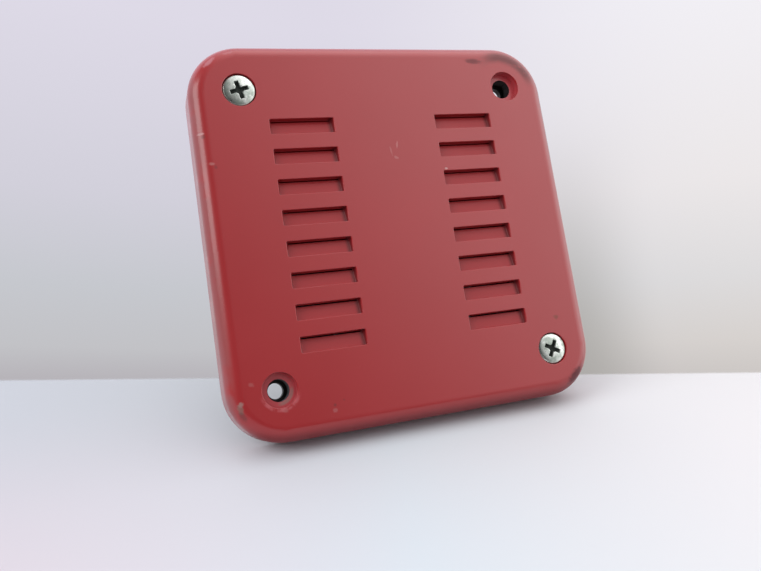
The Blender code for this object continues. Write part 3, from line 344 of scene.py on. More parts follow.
class Wiring:
    """A node tree being wired. Every node it holds comes from node()."""

    def __init__(self, tree):
        self.tree = tree

    def node(self, kind, settings=None, sockets=None, output=0):
        """Add a node: first its settings, then its sockets. Gives one of its outputs."""
        made = self.tree.nodes.new(kind)
        for name, value in (settings or {}).items():
            if name == "stops":
                self.set_stops(made.color_ramp, value)
            else:
                setattr(made, name, value)
        self.fill(made, sockets or {})
        return Value(self, made.outputs[output]) if made.outputs else made

    def fill(self, node, sockets):
        for name, value in sockets.items():
            if isinstance(value, Value):
                self.tree.links.new(value.socket, node.inputs[name])
            else:
                node.inputs[name].default_value = value

    def set_stops(self, ramp, stops):
        while len(ramp.elements) < len(stops):
            ramp.elements.new(0.5)
        for element, (place, colour) in zip(ramp.elements, stops):
            element.position = place
            element.color = colour

    def axes(self, vector):
        """The X, Y and Z values of a vector."""
        split = self.node("ShaderNodeSeparateXYZ", sockets={"Vector": vector})
        return [Value(self, split.socket.node.outputs[axis]) for axis in ("X", "Y", "Z")]

    def noise(self, vector, size, detail=3.0, roughness=0.5):
        """Noise from 0 to 1 whose blotches are about the given size across."""
        return self.node("ShaderNodeTexNoise", sockets={
            "Vector": vector, "Scale": 1 / size, "Detail": detail, "Roughness": roughness})

    def ramp(self, value, low, high, start=0.0, end=1.0):
        """Start at low and end at high, with a smooth run between."""
        return self.node("ShaderNodeMapRange", {"interpolation_type": "SMOOTHSTEP"}, {
            "Value": value, "From Min": low, "From Max": high, "To Min": start,
            "To Max": end})

    def blend(self, mask, first, second):
        """The first colour where the mask is 0, the second where it is 1."""
        return self.node("ShaderNodeMix", {"data_type": "RGBA"},
                         {0: mask, 6: first, 7: second}, output=2)

    def colours(self, value, *stops):
        return self.node("ShaderNodeValToRGB", {"stops": stops}, {0: value})


class Shader(Wiring):
    """A material being wired, measured in the siren's own X, Y and Z."""

    def __init__(self, name):
        self.material = bpy.data.materials.new(name)
        self.material.use_nodes = True
        super().__init__(self.material.node_tree)
        self.surface = self.tree.nodes["Principled BSDF"]
        self.place = self.node("ShaderNodeTexCoord", output="Object")
        self.x, self.y, self.z = self.axes(self.place)

    def grain(self, size, detail=3.0, roughness=0.5):
        return self.noise(self.place, size, detail, roughness)

    def streaks(self, sizes, turn=(0, 0, 0), detail=3.0):
        """Noise whose blotches have a size of their own along each axis."""
        vector = self.node("ShaderNodeMapping", {"vector_type": "POINT"}, {
            "Vector": self.place, "Rotation": turn,
            "Scale": tuple(1 / size for size in sizes)})
        return self.noise(vector, 1.0, detail)

    def away(self, centre, radii, turn=0.0):
        """Distance from a centre as a share of the radii, turned about Y in degrees."""
        vector = self.node("ShaderNodeMapping", {"vector_type": "TEXTURE"}, {
            "Vector": self.place, "Location": centre, "Rotation": (0, radians(turn), 0),
            "Scale": radii})
        return self.node("ShaderNodeVectorMath", {"operation": "LENGTH"}, {0: vector},
                         output=1)

    def bump(self, height, distance, strength=1.0, below=None):
        sockets = {"Height": height, "Distance": distance, "Strength": strength}
        if below:
            sockets["Normal"] = below
        return self.node("ShaderNodeBump", sockets=sockets)

    def finish(self, colour, roughness, metallic=0.0, normal=None, **sockets):
        """Wire the surface and give the material."""
        self.fill(self.surface, {"Base Color": colour, "Roughness": roughness,
                                 "Metallic": metallic, **sockets})
        if normal:
            self.fill(self.surface, {"Normal": normal})
        return self.material


# ----------------------------------------------------------------------- finishes

WEAR_REACH = 9 * MM          # along Y, each way from the face
RIM_HIGHLIGHT_R = 5.6 * MM        # where a painted highlight lies on the lower left hole's rim
SEAT_WEAR_R = 3.9 * MM       # where its seat is rubbed
RECESS_SHADE_R = 3.5 * MM           # how far the painted shade reaches in a cover screw's driver recess
DARK = tint(86, 44, 44)
# Wear and two painted highlights as (x, z, half length, half height, turn, colour, strength),
# places in mm
WEAR_AND_HIGHLIGHTS = (
    (-58.2, 31.9, 1.0, 0.4, 0, tint(226, 166, 166), 0.85),
    (-57.6, 30.9, 0.7, 0.6, 0, DARK, 0.4),
    (-56.1, 22.5, 0.9, 0.5, 0, tint(204, 140, 136), 0.5),
    (-55.1, 21.4, 0.6, 0.6, 0, DARK, 0.4),
    (-56.9, -49.0, 0.8, 1.6, -24, tint(140, 110, 100), 0.7),
    (-56.6, -47.6, 0.8, 0.8, -10, tint(172, 150, 142), 0.6),
    (-56.4, -51.0, 0.8, 1.8, -30, tint(96, 56, 54), 0.5),
    (-53.2, -42.6, 0.9, 0.6, 20, tint(186, 110, 108), 0.4),
    (-44.6, -51.0, 1.0, 0.8, 10, tint(190, 112, 112), 0.5),
    (-30.1, -53.4, 0.8, 0.7, 0, tint(184, 110, 110), 0.5),
    (34.9, 54.3, 3.2, 1.0, 4, tint(120, 58, 60), 0.8),
    (18.3, 17.3, 0.6, 0.4, 0, tint(226, 184, 180), 0.7),
    (2.5, 26.0, 0.35, 1.3, 12, tint(214, 150, 148), 0.45),
    (1.6, 21.8, 0.9, 0.5, 30, tint(208, 146, 144), 0.4),
    (0.2, 24.0, 0.3, 1.6, -8, tint(206, 140, 138), 0.35),
    (48.6, -35.3, 1.0, 0.8, 0, tint(112, 74, 52), 0.5),
    (52.4, -55.0, 4.2, 1.9, -38, tint(92, 20, 34), 0.85),
    (-29.9, -51.9, 0.5, 0.5, 0, DARK, 0.5),
    (-27.0, -50.8, 0.35, 0.3, 0, DARK, 0.4),
    # The next two are painted highlights on the upper left corner's rounded rim.
    (-53.2, 54.2, 2.4, 0.7, -42, tint(220, 150, 160), 0.55),
    (-47.2, 57.2, 1.8, 0.5, -12, tint(214, 144, 154), 0.3),
)


def louvre_masks(shader, depth):
    """Where a louvre's scoop is, and the painted shade at its two ends."""
    along_row = shader.x - LOUVRE_INNER_X + (shader.x < 0) * (2 * LOUVRE_INNER_X
                                                             + LOUVRE_LENGTH)
    right = shader.ramp(along_row, LOUVRE_LENGTH - 2.1 * MM, LOUVRE_LENGTH - 0.7 * MM)
    left = shader.ramp(along_row, 1.0 * MM, 0.3 * MM)
    banks = (abs(shader.x) < LOUVRE_INNER_X + LOUVRE_LENGTH) * (
        abs(shader.x) > LOUVRE_INNER_X) * (abs(shader.z) < LOUVRE_TOP + 0.1 * MM)
    scoop = shader.ramp(depth, 0.15 * MM, 0.7 * MM) * banks
    return scoop, (right * 0.85).larger(left * 0.4) * scoop


def corner_masks(shader):
    """Rubbing along the rim of the upper right corner, and painted shade down its right side."""
    middle = cover_span.radius - COVER_CORNER_R
    round_corner = shader.away((middle, FACE_Y, middle),
                               (COVER_CORNER_R, COVER_CORNER_R, COVER_CORNER_R))
    band = shader.ramp(abs(round_corner - 0.73), 0.17, 0.03)
    band = band * shader.ramp(shader.x, 36 * MM, 44 * MM) * shader.ramp(
        shader.z, 44 * MM, 50 * MM)
    patchy = shader.ramp(shader.streaks((3 * MM, 2 * MM, 1.8 * MM), detail=3), 0.25, 0.45)
    # Painted shade down the rounded edge of the right side.
    side = shader.ramp(shader.x, 58.4 * MM, 59.6 * MM) * shader.ramp(
        abs(shader.z - 33 * MM), 20 * MM, 10 * MM)
    return band * patchy, side


def hole_masks(shader, depth):
    """Recess of each screw hole, its dark bore, and on the lower left one a painted highlight
    along its rim and the rubbed edge of its seat.
    """
    across = (abs(shader.x) - FIXING) ** 2
    radius = (across + (abs(shader.z) - FIXING) ** 2) ** 0.5
    recess = (radius < RECESS_R + 0.3 * MM) * shader.ramp(depth, 0.2 * MM, 1.2 * MM)
    # The bore is painted near black: painted shade with dirt.
    bore = (radius < SEAT_HOLE_R + 0.1 * MM) * (depth > RECESS_DEPTH + 0.1 * MM)
    lower_left = (shader.x < 0) * (shader.z < 0)
    right = (shader.x + FIXING) / radius
    low = (shader.z + FIXING) / radius * -1.0
    soft = shader.ramp(shader.grain(1.6 * MM, 3), 0.3, 0.6)
    # Painted highlight along the lower side of the lower left hole's rim.
    rim = shader.ramp(abs(radius - RIM_HIGHLIGHT_R), 0.9 * MM, 0.1 * MM) * shader.ramp(
        low, 0.1, 0.7)
    seat = shader.ramp(abs(radius - SEAT_WEAR_R), 0.7 * MM, 0.3 * MM)
    seat = seat * shader.ramp(right + low, 0.7, 1.2)
    return recess, bore, rim * soft * lower_left, seat * lower_left


def red_enamel():
    """Glossy enamel, dull where it is knocked, rubbed or dirty. Its colour also holds painted
    shade in the louvres, painted shade with dirt in the bores, painted shade along the lower and
    right edges, painted light in the screw recesses, and painted highlights on the lower left
    hole's rim and the upper left corner.
    """
    shader = Shader("red_enamel")
    depth = shader.y - FACE_Y
    colour = shader.blend(shader.grain(26 * MM, 2), tint(174, 34, 38), tint(182, 39, 44))
    ragged = (shader.grain(0.8 * MM, 3, 0.6) - 0.5) * 1.1
    scoop, scoop_end_shade = louvre_masks(shader, depth)
    band, side = corner_masks(shader)
    recess, bore, rim, seat = hole_masks(shader, depth)
    # Painted shade on the underside of the lower edge.
    lower_rim_shade = shader.ramp(shader.z, -54.5 * MM, -58.5 * MM) * shader.ramp(depth, 0, 2 * MM)
    left_rim = shader.ramp(shader.x, -57 * MM, -59.3 * MM) * shader.ramp(
        shader.grain(7 * MM, 2), 0.2, 0.55)
    dull = (scoop * 0.8).larger(lower_rim_shade * 0.75)
    for x, z, half_x, half_z, turn, shade, strength in WEAR_AND_HIGHLIGHTS:
        away = shader.away((x * MM, FACE_Y, z * MM), (half_x * MM, WEAR_REACH, half_z * MM),
                           turn)
        mark = shader.ramp(away + ragged, 1.25, 0.45, 0.0, strength)
        colour = shader.blend(mark, colour, shade)
        dull = dull.larger(mark)
    for mark, strength, shade in ((band, 0.78, tint(114, 70, 70)),
                                  # Painted shade down the right side's edge.
                                  (side, 0.6, tint(84, 36, 40)),
                                  (left_rim, 0.3, tint(124, 112, 112)),
                                  # Painted shade under the lower edge.
                                  (lower_rim_shade, 0.5, tint(122, 26, 38)),
                                  # Painted shade in the louvre scoops, darker still at their
                                  # ends.
                                  (scoop, 0.25, tint(132, 24, 34)),
                                  (scoop_end_shade, 0.85, tint(96, 12, 20)),
                                  # Painted light in the screw recesses, against their shade.
                                  (recess, 0.35, tint(222, 110, 120)),
                                  # Painted highlight on the lower left hole's rim.
                                  (rim, 0.65, tint(206, 104, 110)),
                                  (seat, 0.75, tint(156, 124, 118)),
                                  # Painted shade with dirt in the bores.
                                  (bore, 1.0, tint(30, 14, 14))):
        colour = shader.blend(mark * strength, colour, shade)
        dull = dull.larger(mark * strength)
    dust = shader.ramp(shader.grain(0.35 * MM, 2), 0.74, 0.8)
    colour = shader.blend(dust * 0.25, colour, tint(200, 140, 140))
    roughness = shader.ramp(shader.grain(18 * MM, 2), 0.3, 0.7, 0.33, 0.37)
    peel = shader.bump(shader.grain(1.1 * MM, 1), 0.012 * MM, 0.3)
    sockets = {"Coat Weight": (1.0 - dull) * 0.7, "Coat Roughness": 0.2, "Coat IOR": 1.55}
    return shader.finish(colour, roughness + dull * 0.2, normal=peel, **sockets)


def plated(name, light, dark, roughness, lines=0.0):
    """Plated or turned metal: a clouded skin, fine lines round each turn, a few marks."""
    shader = Shader(name)
    cloud = shader.grain(2.2 * MM, 4)
    colour = shader.blend(shader.ramp(cloud, 0.3, 0.7), dark, light)
    stain = shader.ramp(shader.grain(5 * MM, 5, 0.7), 0.56, 0.7)
    colour = shader.blend(stain * 0.5, colour, tuple(0.55 * c for c in dark[:3]) + (1,))
    gloss = shader.ramp(cloud, 0.3, 0.7, roughness + 0.08, roughness) + stain * 0.12
    normal = shader.bump(shader.grain(0.25 * MM, 3), 0.004 * MM, 0.3)
    if lines:
        fine = shader.streaks((3 * MM, 0.05 * MM, 3 * MM), detail=2)
        normal = shader.bump(fine, lines, 0.4, normal)
    return shader.finish(colour, gloss, 1.0, normal)


def bright_zinc():
    """Bright zinc plating. The driver recesses of the cover screws are painted near black as
    painted shade.
    """
    shader = Shader("bright_zinc")
    cloud = shader.grain(1.6 * MM, 4)
    colour = shader.blend(shader.ramp(cloud, 0.34, 0.66), tint(194, 203, 195),
                          tint(230, 234, 228))
    tarnish = shader.ramp(shader.grain(3.4 * MM, 5, 0.65), 0.42, 0.62)
    colour = shader.blend(tarnish * 0.65, colour, tint(128, 142, 128))
    # Painted shade in the driver recesses of the cover screws.
    recess_shade = 0.0
    for x, z in (UPPER_LEFT, LOWER_RIGHT):
        near = shader.away((x, FACE_Y, z), (RECESS_SHADE_R, WEAR_REACH, RECESS_SHADE_R)) < 1.0
        recess_shade = near + recess_shade
    recess_shade = (recess_shade * shader.ramp(shader.y, FACE_Y + 0.15 * MM, FACE_Y + 0.6 * MM)).smaller(1.0)
    colour = shader.blend(recess_shade, colour, tint(58, 64, 58))
    gloss = shader.ramp(cloud, 0.3, 0.7, 0.30, 0.20) + tarnish * 0.12 + recess_shade * 0.4
    fine = shader.bump(shader.grain(0.22 * MM, 3), 0.004 * MM, 0.35)
    return shader.finish(colour, gloss, 1.0 - recess_shade, fine)


def black_plate():
    """Sheet steel under thin black paint that has rubbed through to grey here and there. Its
    black is partly painted shade, for the dark seen behind the cover's holes.
    """
    shader = Shader("black_plate")
    colour = shader.blend(shader.grain(6 * MM, 4), tint(20, 20, 21), tint(34, 33, 33))
    rubbed = shader.ramp(shader.grain(1.4 * MM, 5, 0.75), 0.66, 0.74)
    colour = shader.blend(rubbed * 0.5, colour, tint(120, 118, 114))
    skin = shader.bump(shader.grain(0.5 * MM, 2), 0.01 * MM, 0.4)
    return shader.finish(colour, shader.ramp(rubbed, 0, 1, 0.5, 0.38), 0.0, skin)


def cast_metal():
    """Rough die-cast aluminium with flow marks and small dark pits."""
    shader = Shader("cast_aluminium")
    flow = shader.streaks((9 * MM, 4 * MM, 2.4 * MM), (0, 0.4, 0.2), 5)
    colour = shader.blend(flow, tint(158, 160, 163), tint(196, 198, 200))
    pits = shader.ramp(shader.grain(0.5 * MM, 4, 0.7), 0.64, 0.72)
    colour = shader.blend(pits * 0.7, colour, tint(92, 92, 94))
    sand = shader.bump(shader.grain(0.3 * MM, 3, 0.6), 0.02 * MM, 0.5)
    return shader.finish(colour, shader.ramp(flow, 0.3, 0.7, 0.56, 0.44), 1.0,
                         shader.bump(pits, -0.03 * MM, 0.5, sand))


def spun_sheet():
    """Spring steel sheet with the fine rings of its spinning and a blue-brown temper."""
    shader = Shader("spring_steel")
    radius = (shader.x ** 2 + shader.z ** 2) ** 0.5
    line = shader.node("ShaderNodeCombineXYZ", sockets={0: radius})
    rings = shader.noise(line, 0.22 * MM, 3)
    colour = shader.blend(rings, tint(150, 152, 156), tint(184, 186, 188))
    temper = shader.ramp(shader.noise(line, 9 * MM, 1), 0.4, 0.7)
    colour = shader.blend(temper * 0.35, colour, tint(150, 132, 112))
    smudge = shader.ramp(shader.grain(7 * MM, 5, 0.65), 0.5, 0.7)
    gloss = shader.ramp(rings, 0.3, 0.7, 0.26, 0.36) + smudge * 0.12
    return shader.finish(colour, gloss, 1.0, shader.bump(rings, 0.006 * MM, 0.5))


def wound_copper():
    """Enamelled copper whose turns differ a little, under patches of varnish."""
    shader = Shader("enamelled_copper")
    turn = shader.node("ShaderNodeCombineXYZ", sockets={0: shader.y, 1: shader.x * 0.02})
    each = shader.noise(turn, COIL_WIRE, 2)
    colour = shader.blend(each, tint(150, 66, 34), tint(196, 104, 58))
    varnish = shader.ramp(shader.grain(3 * MM, 4), 0.5, 0.62)
    colour = shader.blend(varnish * 0.5, colour, tint(110, 44, 24))
    return shader.finish(colour, shader.ramp(varnish, 0, 1, 0.34, 0.2), 0.7,
                         shader.bump(shader.grain(0.2 * MM, 2), 0.004 * MM, 0.3))


def moulded(name, light, dark, roughness, grain=0.35 * MM, relief=0.01 * MM, flecks=None):
    """Moulded, pressed or dipped material with a skin texture, flecked if so asked."""
    shader = Shader(name)
    cloud = shader.grain(3 * MM, 4)
    colour = shader.blend(shader.ramp(cloud, 0.3, 0.7), dark, light)
    if flecks:
        spots = shader.ramp(shader.grain(grain * 1.6, 3, 0.7), 0.58, 0.68)
        colour = shader.blend(spots * 0.7, colour, flecks)
    skin = shader.grain(grain, 3)
    gloss = shader.ramp(cloud + skin * 0.5, 0.5, 1.0, roughness - 0.05, roughness + 0.06)
    return shader.finish(colour, gloss, normal=shader.bump(skin, relief, 0.5))


def closed_foam():
    """Closed-cell foam: round cells of several sizes and a slightly greyed skin."""
    shader = Shader("foam")
    cells = shader.node("ShaderNodeTexVoronoi", {"feature": "SMOOTH_F1"}, {
        "Vector": shader.place, "Scale": 1 / (0.55 * MM), "Smoothness": 0.4})
    small = shader.grain(0.2 * MM, 3)
    colour = shader.blend(shader.ramp(cells, 0.1, 0.7), tint(26, 26, 27), tint(52, 51, 50))
    colour = shader.blend(shader.ramp(shader.grain(8 * MM, 4), 0.5, 0.75) * 0.4, colour,
                          tint(78, 76, 72))
    relief = shader.bump(cells, 0.12 * MM, 0.7, shader.bump(small, 0.03 * MM, 0.5))
    return shader.finish(colour, shader.ramp(cells, 0.1, 0.7, 0.82, 0.94), normal=relief)


def insulation(name, light, dark, ends):
    """Wire insulation, with tinned copper where the ends are stripped."""
    shader = Shader(name)
    cloud = shader.grain(4 * MM, 3)
    colour = shader.blend(cloud, dark, light)
    bare = 0.0
    for end in ends:
        bare = (shader.away(end, 3 * (BARE_LENGTH,)) < 1.0) + bare
    bare = bare.smaller(1.0)
    colour = shader.blend(bare, colour, tint(206, 176, 146))
    scuffs = shader.ramp(shader.grain(0.8 * MM, 4), 0.6, 0.75)
    gloss = shader.ramp(scuffs, 0, 1, 0.38, 0.5) - bare * 0.1
    return shader.finish(colour, gloss, bare,
                         shader.bump(shader.grain(0.6 * MM, 2), 0.01 * MM, 0.4))


def diode_body():
    """Black epoxy with a silver band near one end, and tinned leads."""
    shader = Shader("diode_case")
    span = Span("series_diode")
    along = abs(shader.x - (span.middle.x + 0.3 * DIODE_LENGTH))
    band = shader.ramp(along, 0.5 * MM, 0.42 * MM)
    lead = abs(shader.x - span.middle.x) > (DIODE_LENGTH / 2 + LEAD_CLEAR)
    colour = shader.blend(shader.grain(0.8 * MM, 3), tint(28, 28, 30), tint(46, 46, 48))
    colour = shader.blend(band, colour, tint(196, 196, 194))
    colour = shader.blend(lead, colour, tint(188, 188, 186))
    return shader.finish(colour, shader.ramp(band.larger(lead), 0, 1, 0.42, 0.3),
                         lead.larger(band * 0.6),
                         shader.bump(shader.grain(0.25 * MM, 2), 0.008 * MM, 0.4))


def dipped_case():
    """Ochre epoxy dip, glossy and uneven, over a capacitor with tinned leads."""
    shader = Shader("capacitor_case")
    middle = Span("breaker_block").middle.y
    lead = abs(shader.y - middle) > (CAPACITOR_LENGTH / 2 + LEAD_CLEAR)
    colour = shader.blend(shader.grain(2.5 * MM, 4), tint(178, 122, 40), tint(214, 164, 74))
    colour = shader.blend(lead, colour, tint(188, 188, 186))
    gloss = shader.ramp(shader.grain(1.8 * MM, 3), 0.3, 0.7, 0.2, 0.34)
    return shader.finish(colour, gloss, lead,
                         shader.bump(shader.grain(1.2 * MM, 2), 0.05 * MM, 0.5))


# ------------------------------------------------------------------ routes of the leads

def smooth_route(points, steps=8):
    """Points on a smooth curve through the given ones."""
    points = [Vector(point) for point in points]
    padded = [2 * points[0] - points[1], *points, 2 * points[-1] - points[-2]]
    route = []
    for a, b, c, d in zip(padded, padded[1:], padded[2:], padded[3:]):
        for step in range(steps):
            t = step / steps
            route.append(0.5 * (2 * b + (c - a) * t + (2 * a - 5 * b + 4 * c - d) * t ** 2
                                + (3 * b - a - 3 * c + d) * t ** 3))
    return [*route, points[-1]]


def lead_routes():
    """Where each insulated lead runs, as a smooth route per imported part."""
    thick = 2 * WIRE_R
    coil_r = Span("coil_winding").radius + GAP + WIRE_R
    coil_x, coil_z = coil_r * cos(COIL_LEAD_ANGLE), coil_r * sin(COIL_LEAD_ANGLE)
    coil_y = Span("coil_bobbin").rear - COIL_LEAD_SETBACK
    breaker, bracket, arm = Span("breaker_block"), Span("contact_bracket"), Span("contact_arm")
    clamp = Span("terminal_clamp_2")
    grommet_z = Span("lead_grommet").middle.z
    contact_x = CONTACT_PLACE[0]
    front_y = BACK_FRONT_Y - GAP - GROMMET_LIP - thick
    rear_y = BACK_REAR_Y + GAP + GROMMET_LIP + thick
    side_x = WIRE_R + GAP
    bent_x, bent_z = side_x + WIRE_R, grommet_z - WIRE_R
    tag_x = clamp.middle.x
    lead_y = clamp.rear + GAP + WIRE_R
    lead_z = clamp.high.z - TAG_LENGTH / 2 + LEAD_R + GAP
    block_z = breaker.high.z + GAP + WIRE_R
    starts = {
        "coil_lead": (-1, [(-coil_x, coil_y, coil_z),
                           (-coil_x, coil_y + 2 * thick, coil_z + 4 * thick),
                           (-0.7 * coil_x, front_y - 2.5 * thick, grommet_z - 5 * thick)]),
        "breaker_lead": (1, [(contact_x + WIRE_R, bracket.middle.y, block_z),
                             (contact_x - WIRE_R, breaker.front + 2.5 * thick,
                              block_z + 4.5 * thick),
                             (coil_x, front_y - 4 * thick, grommet_z - 5.5 * thick)])}
    routes = {}
    for name, (side, start) in starts.items():
        routes[name] = smooth_route([
            *start, (side * bent_x, front_y - thick, bent_z),
            (side * side_x, front_y, grommet_z), (side * side_x, rear_y, grommet_z),
            (side * bent_x, rear_y + thick, bent_z),
            (-side * tag_x, lead_y, lead_z + 2.5 * thick), (-side * tag_x, lead_y, lead_z)])
    routes["arm_lead"] = smooth_route([
        (coil_x, coil_y, -coil_z),
        (coil_x + 2.5 * thick, coil_y - 2 * thick, -coil_z - 2.5 * thick),
        (contact_x, breaker.front + 4 * thick, -block_z - 2.5 * thick),
        (breaker.middle.x - thick, arm.rear, -block_z)])
    return routes


ROUTES = lead_routes()
BLACK_ENDS = [ROUTES[name][end] for name in ("breaker_lead", "arm_lead") for end in (0, -1)]
RED_ENDS = [ROUTES["coil_lead"][end] for end in (0, -1)]

FINISHES = {
    "red_paint": red_enamel(),
    "bright_zinc": bright_zinc(),
    "black_plate": black_plate(),
    "cast_aluminium": cast_metal(),
    "soft_iron": plated("soft_iron", tint(150, 148, 146), tint(116, 114, 114), 0.42, 4e-6),
    "spring_steel": spun_sheet(),
    "steel": plated("steel", tint(200, 200, 202), tint(172, 173, 176), 0.3, 3e-6),
    "brass": plated("brass", tint(224, 190, 124), tint(198, 158, 94), 0.28, 3e-6),
    "tungsten": plated("tungsten", tint(172, 172, 176), tint(138, 138, 144), 0.34, 2e-6),
    "enamelled_copper": wound_copper(),
    "foam": closed_foam(),
    "fibre": moulded("fibre", tint(150, 114, 84), tint(122, 90, 64), 0.8, 0.3 * MM,
                     0.03 * MM, tint(88, 62, 44)),
    "nylon": moulded("nylon", tint(232, 228, 212), tint(214, 208, 190), 0.42),
    "phenolic": moulded("phenolic", tint(66, 50, 44), tint(46, 36, 34), 0.36, 0.3 * MM,
                        0.008 * MM, tint(84, 64, 52)),
    "capacitor_case": dipped_case(),
    "diode_case": diode_body(),
    "rubber": moulded("rubber", tint(44, 43, 42), tint(28, 28, 28), 0.7, 0.4 * MM,
                      0.02 * MM, tint(70, 68, 66)),
    "red_wire": insulation("red_wire", tint(192, 44, 40), tint(164, 32, 32), RED_ENDS),
    "black_wire": insulation("black_wire", tint(46, 46, 48), tint(28, 28, 30), BLACK_ENDS),
}


# ---------------------------------------------------------------- modelling tools

def as_mesh(shape, name):
    """A mesh with a shape's faces. The shape is used up."""
    mesh = bpy.data.meshes.new(name)
    shape.to_mesh(mesh)
    shape.free()
    return mesh


def in_scene(name, data):
    """A new object in the scene, at the origin."""
    obj = bpy.data.objects.new(name, data)
    bpy.context.scene.collection.objects.link(obj)
    return obj


def scratch(shape):
    return in_scene("scratch", as_mesh(shape, "scratch"))


def carved(body, *steps):
    """The body after each (operation, tool) step. Body and tools are used up."""
    base = scratch(body)
    tools = []
    for operation, shape in steps:
        tool = scratch(shape)
        tools.append(tool)
        modifier = base.modifiers.new("cut", "BOOLEAN")
        modifier.operation = operation
        modifier.solver = "EXACT"
        modifier.object = tool
    bpy.context.view_layer.update()
    result = bmesh.new()
    result.from_object(base, bpy.context.evaluated_depsgraph_get())
    for obj in (base, *tools):
        bpy.data.meshes.remove(obj.data)
    bmesh.ops.remove_doubles(result, verts=result.verts, dist=WELD)
    # A cut can leave edges of no length
    bmesh.ops.dissolve_degenerate(result, dist=WELD / 2, edges=result.edges)
    return result


def cut(body, *tools):
    return carved(body, *[("DIFFERENCE", tool) for tool in tools])


def joined(body, *tools):
    return carved(body, *[("UNION", tool) for tool in tools])


def moved(shape, place=(0, 0, 0), turn=0.0, axis="Y"):
    """Turn a shape about an axis through the origin, in degrees, then move it."""
    matrix = Matrix.Translation(place) @ Matrix.Rotation(radians(turn), 4, axis)
    bmesh.ops.transform(shape, matrix=matrix, verts=shape.verts)
    return shape


def soften(shape, width, steps=2, angle=30, where=None):
    """Round every edge that is sharper than the angle, or those that where() picks."""
    edges = [edge for edge in shape.edges
             if len(edge.link_faces) == 2 and edge.calc_face_angle() > radians(angle)
             and (where is None or where(edge))]
    bmesh.ops.bevel(shape, geom=edges, offset=width, segments=steps, profile=0.5,
                    affect="EDGES", clamp_overlap=True, material=-1)
    return shape


def along(axis):
    """Picks the edges that run along an axis, 0 to 2 for X to Z."""
    def runs(edge):
        way = (edge.verts[1].co - edge.verts[0].co).normalized()
        return abs(way[axis]) > 0.99
    return runs


def block(low, high):
    """A plain block between two corners."""
    shape = bmesh.new()
    size = Vector(high) - Vector(low)
    place = Matrix.Translation((Vector(high) + Vector(low)) / 2)
    bmesh.ops.create_cube(shape, size=1.0, matrix=place @ Matrix.Diagonal((*size, 1)))
    return shape


def slab(half, front, rear, corner_r, edge_r=0.0, corner_steps=16, edge_steps=8):
    """A square slab with round corners and, if edge_r is given, a round front edge."""
    shape = block((-half, front, -half), (half, rear, half))
    soften(shape, corner_r, corner_steps, where=along(1))
    if edge_r:
        middle = (front + rear) / 2
        rim = [edge for edge in shape.edges if all(v.co.y < middle for v in edge.verts)]
        bmesh.ops.bevel(shape, geom=rim, offset=edge_r, segments=edge_steps,
                        profile=0.5, affect="EDGES", material=-1)
    return shape


def rod(radius, front, rear, steps=48, end_radius=None):
    """A rod along Y, or a cone if its rear end has a radius of its own."""
    shape = bmesh.new()
    place = Matrix.Translation((0, (front + rear) / 2, 0)) @ Matrix.Rotation(pi / 2, 4, "X")
    bmesh.ops.create_cone(shape, cap_ends=True, segments=steps,
                          radius1=radius if end_radius is None else end_radius,
                          radius2=radius, depth=rear - front, matrix=place)
    return shape


def hole(radius, front, rear, steps=32):
    """The tool for a round hole through what lies between front and rear."""
    return rod(radius, front - MARGIN, rear + MARGIN, steps)


def gathered(shapes):
    """Several shapes that don't meet, as one."""
    whole = bmesh.new()
    for shape in shapes:
        mesh = as_mesh(shape, "gathered")
        whole.from_mesh(mesh)
        bpy.data.meshes.remove(mesh)
    return whole


def at_each(places, make):
    """One shape that holds what make() gives at each (x, z) place."""
    return gathered([moved(make(), (x, 0, z)) for x, z in places])


def holes_at(places, span, radius=CLAMP_HOLE_R, steps=32):
    """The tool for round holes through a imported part's span at each (x, z) place."""
    return at_each(places, lambda: hole(radius, span.front, span.rear, steps))


def turned(profile, steps=64, ring=False):
    """A shape turned about Y from (radius, y) points. A ring's points close on themselves."""
    shape = bmesh.new()
    verts = [shape.verts.new((radius, y, 0)) for radius, y in profile]
    edges = [shape.edges.new(pair) for pair in zip(verts, verts[1:])]
    if ring:
        edges.append(shape.edges.new((verts[-1], verts[0])))
    bmesh.ops.spin(shape, geom=[*verts, *edges], cent=(0, 0, 0), axis=(0, 1, 0),
                   angle=2 * pi, steps=steps, use_merge=True)
    bmesh.ops.remove_doubles(shape, verts=shape.verts, dist=WELD)
    bmesh.ops.recalc_face_normals(shape, faces=shape.faces)
    return shape


def ring(inner, outer, front, rear, edge, steps=64):
    """A flat ring with its four edges rounded."""
    shape = turned([(outer, rear), (outer, front), (inner, front), (inner, rear)], steps,
                   ring=True)
    return soften(shape, edge)


def coiled(ridge, turn_length, front, rear, steps):
    """One turn's ridge of (radius, share of a turn) points, spun on from front to rear."""
    shape = bmesh.new()
    verts = [shape.verts.new((radius, front + share * turn_length, 0))
             for radius, share in ridge]
    edges = [shape.edges.new(pair) for pair in zip(verts, verts[1:])]
    turns = ceil((rear - front) / turn_length)
    bmesh.ops.spin(shape, geom=[*verts, *edges], cent=(0, 0, 0), axis=(0, 1, 0),
                   angle=2 * pi * turns, steps=steps * turns,
                   dvec=(0, turn_length / steps, 0))
    bmesh.ops.remove_doubles(shape, verts=shape.verts, dist=WELD)
    bmesh.ops.holes_fill(shape, edges=[e for e in shape.edges if e.is_boundary], sides=0)
    bmesh.ops.recalc_face_normals(shape, faces=shape.faces)
    return shape


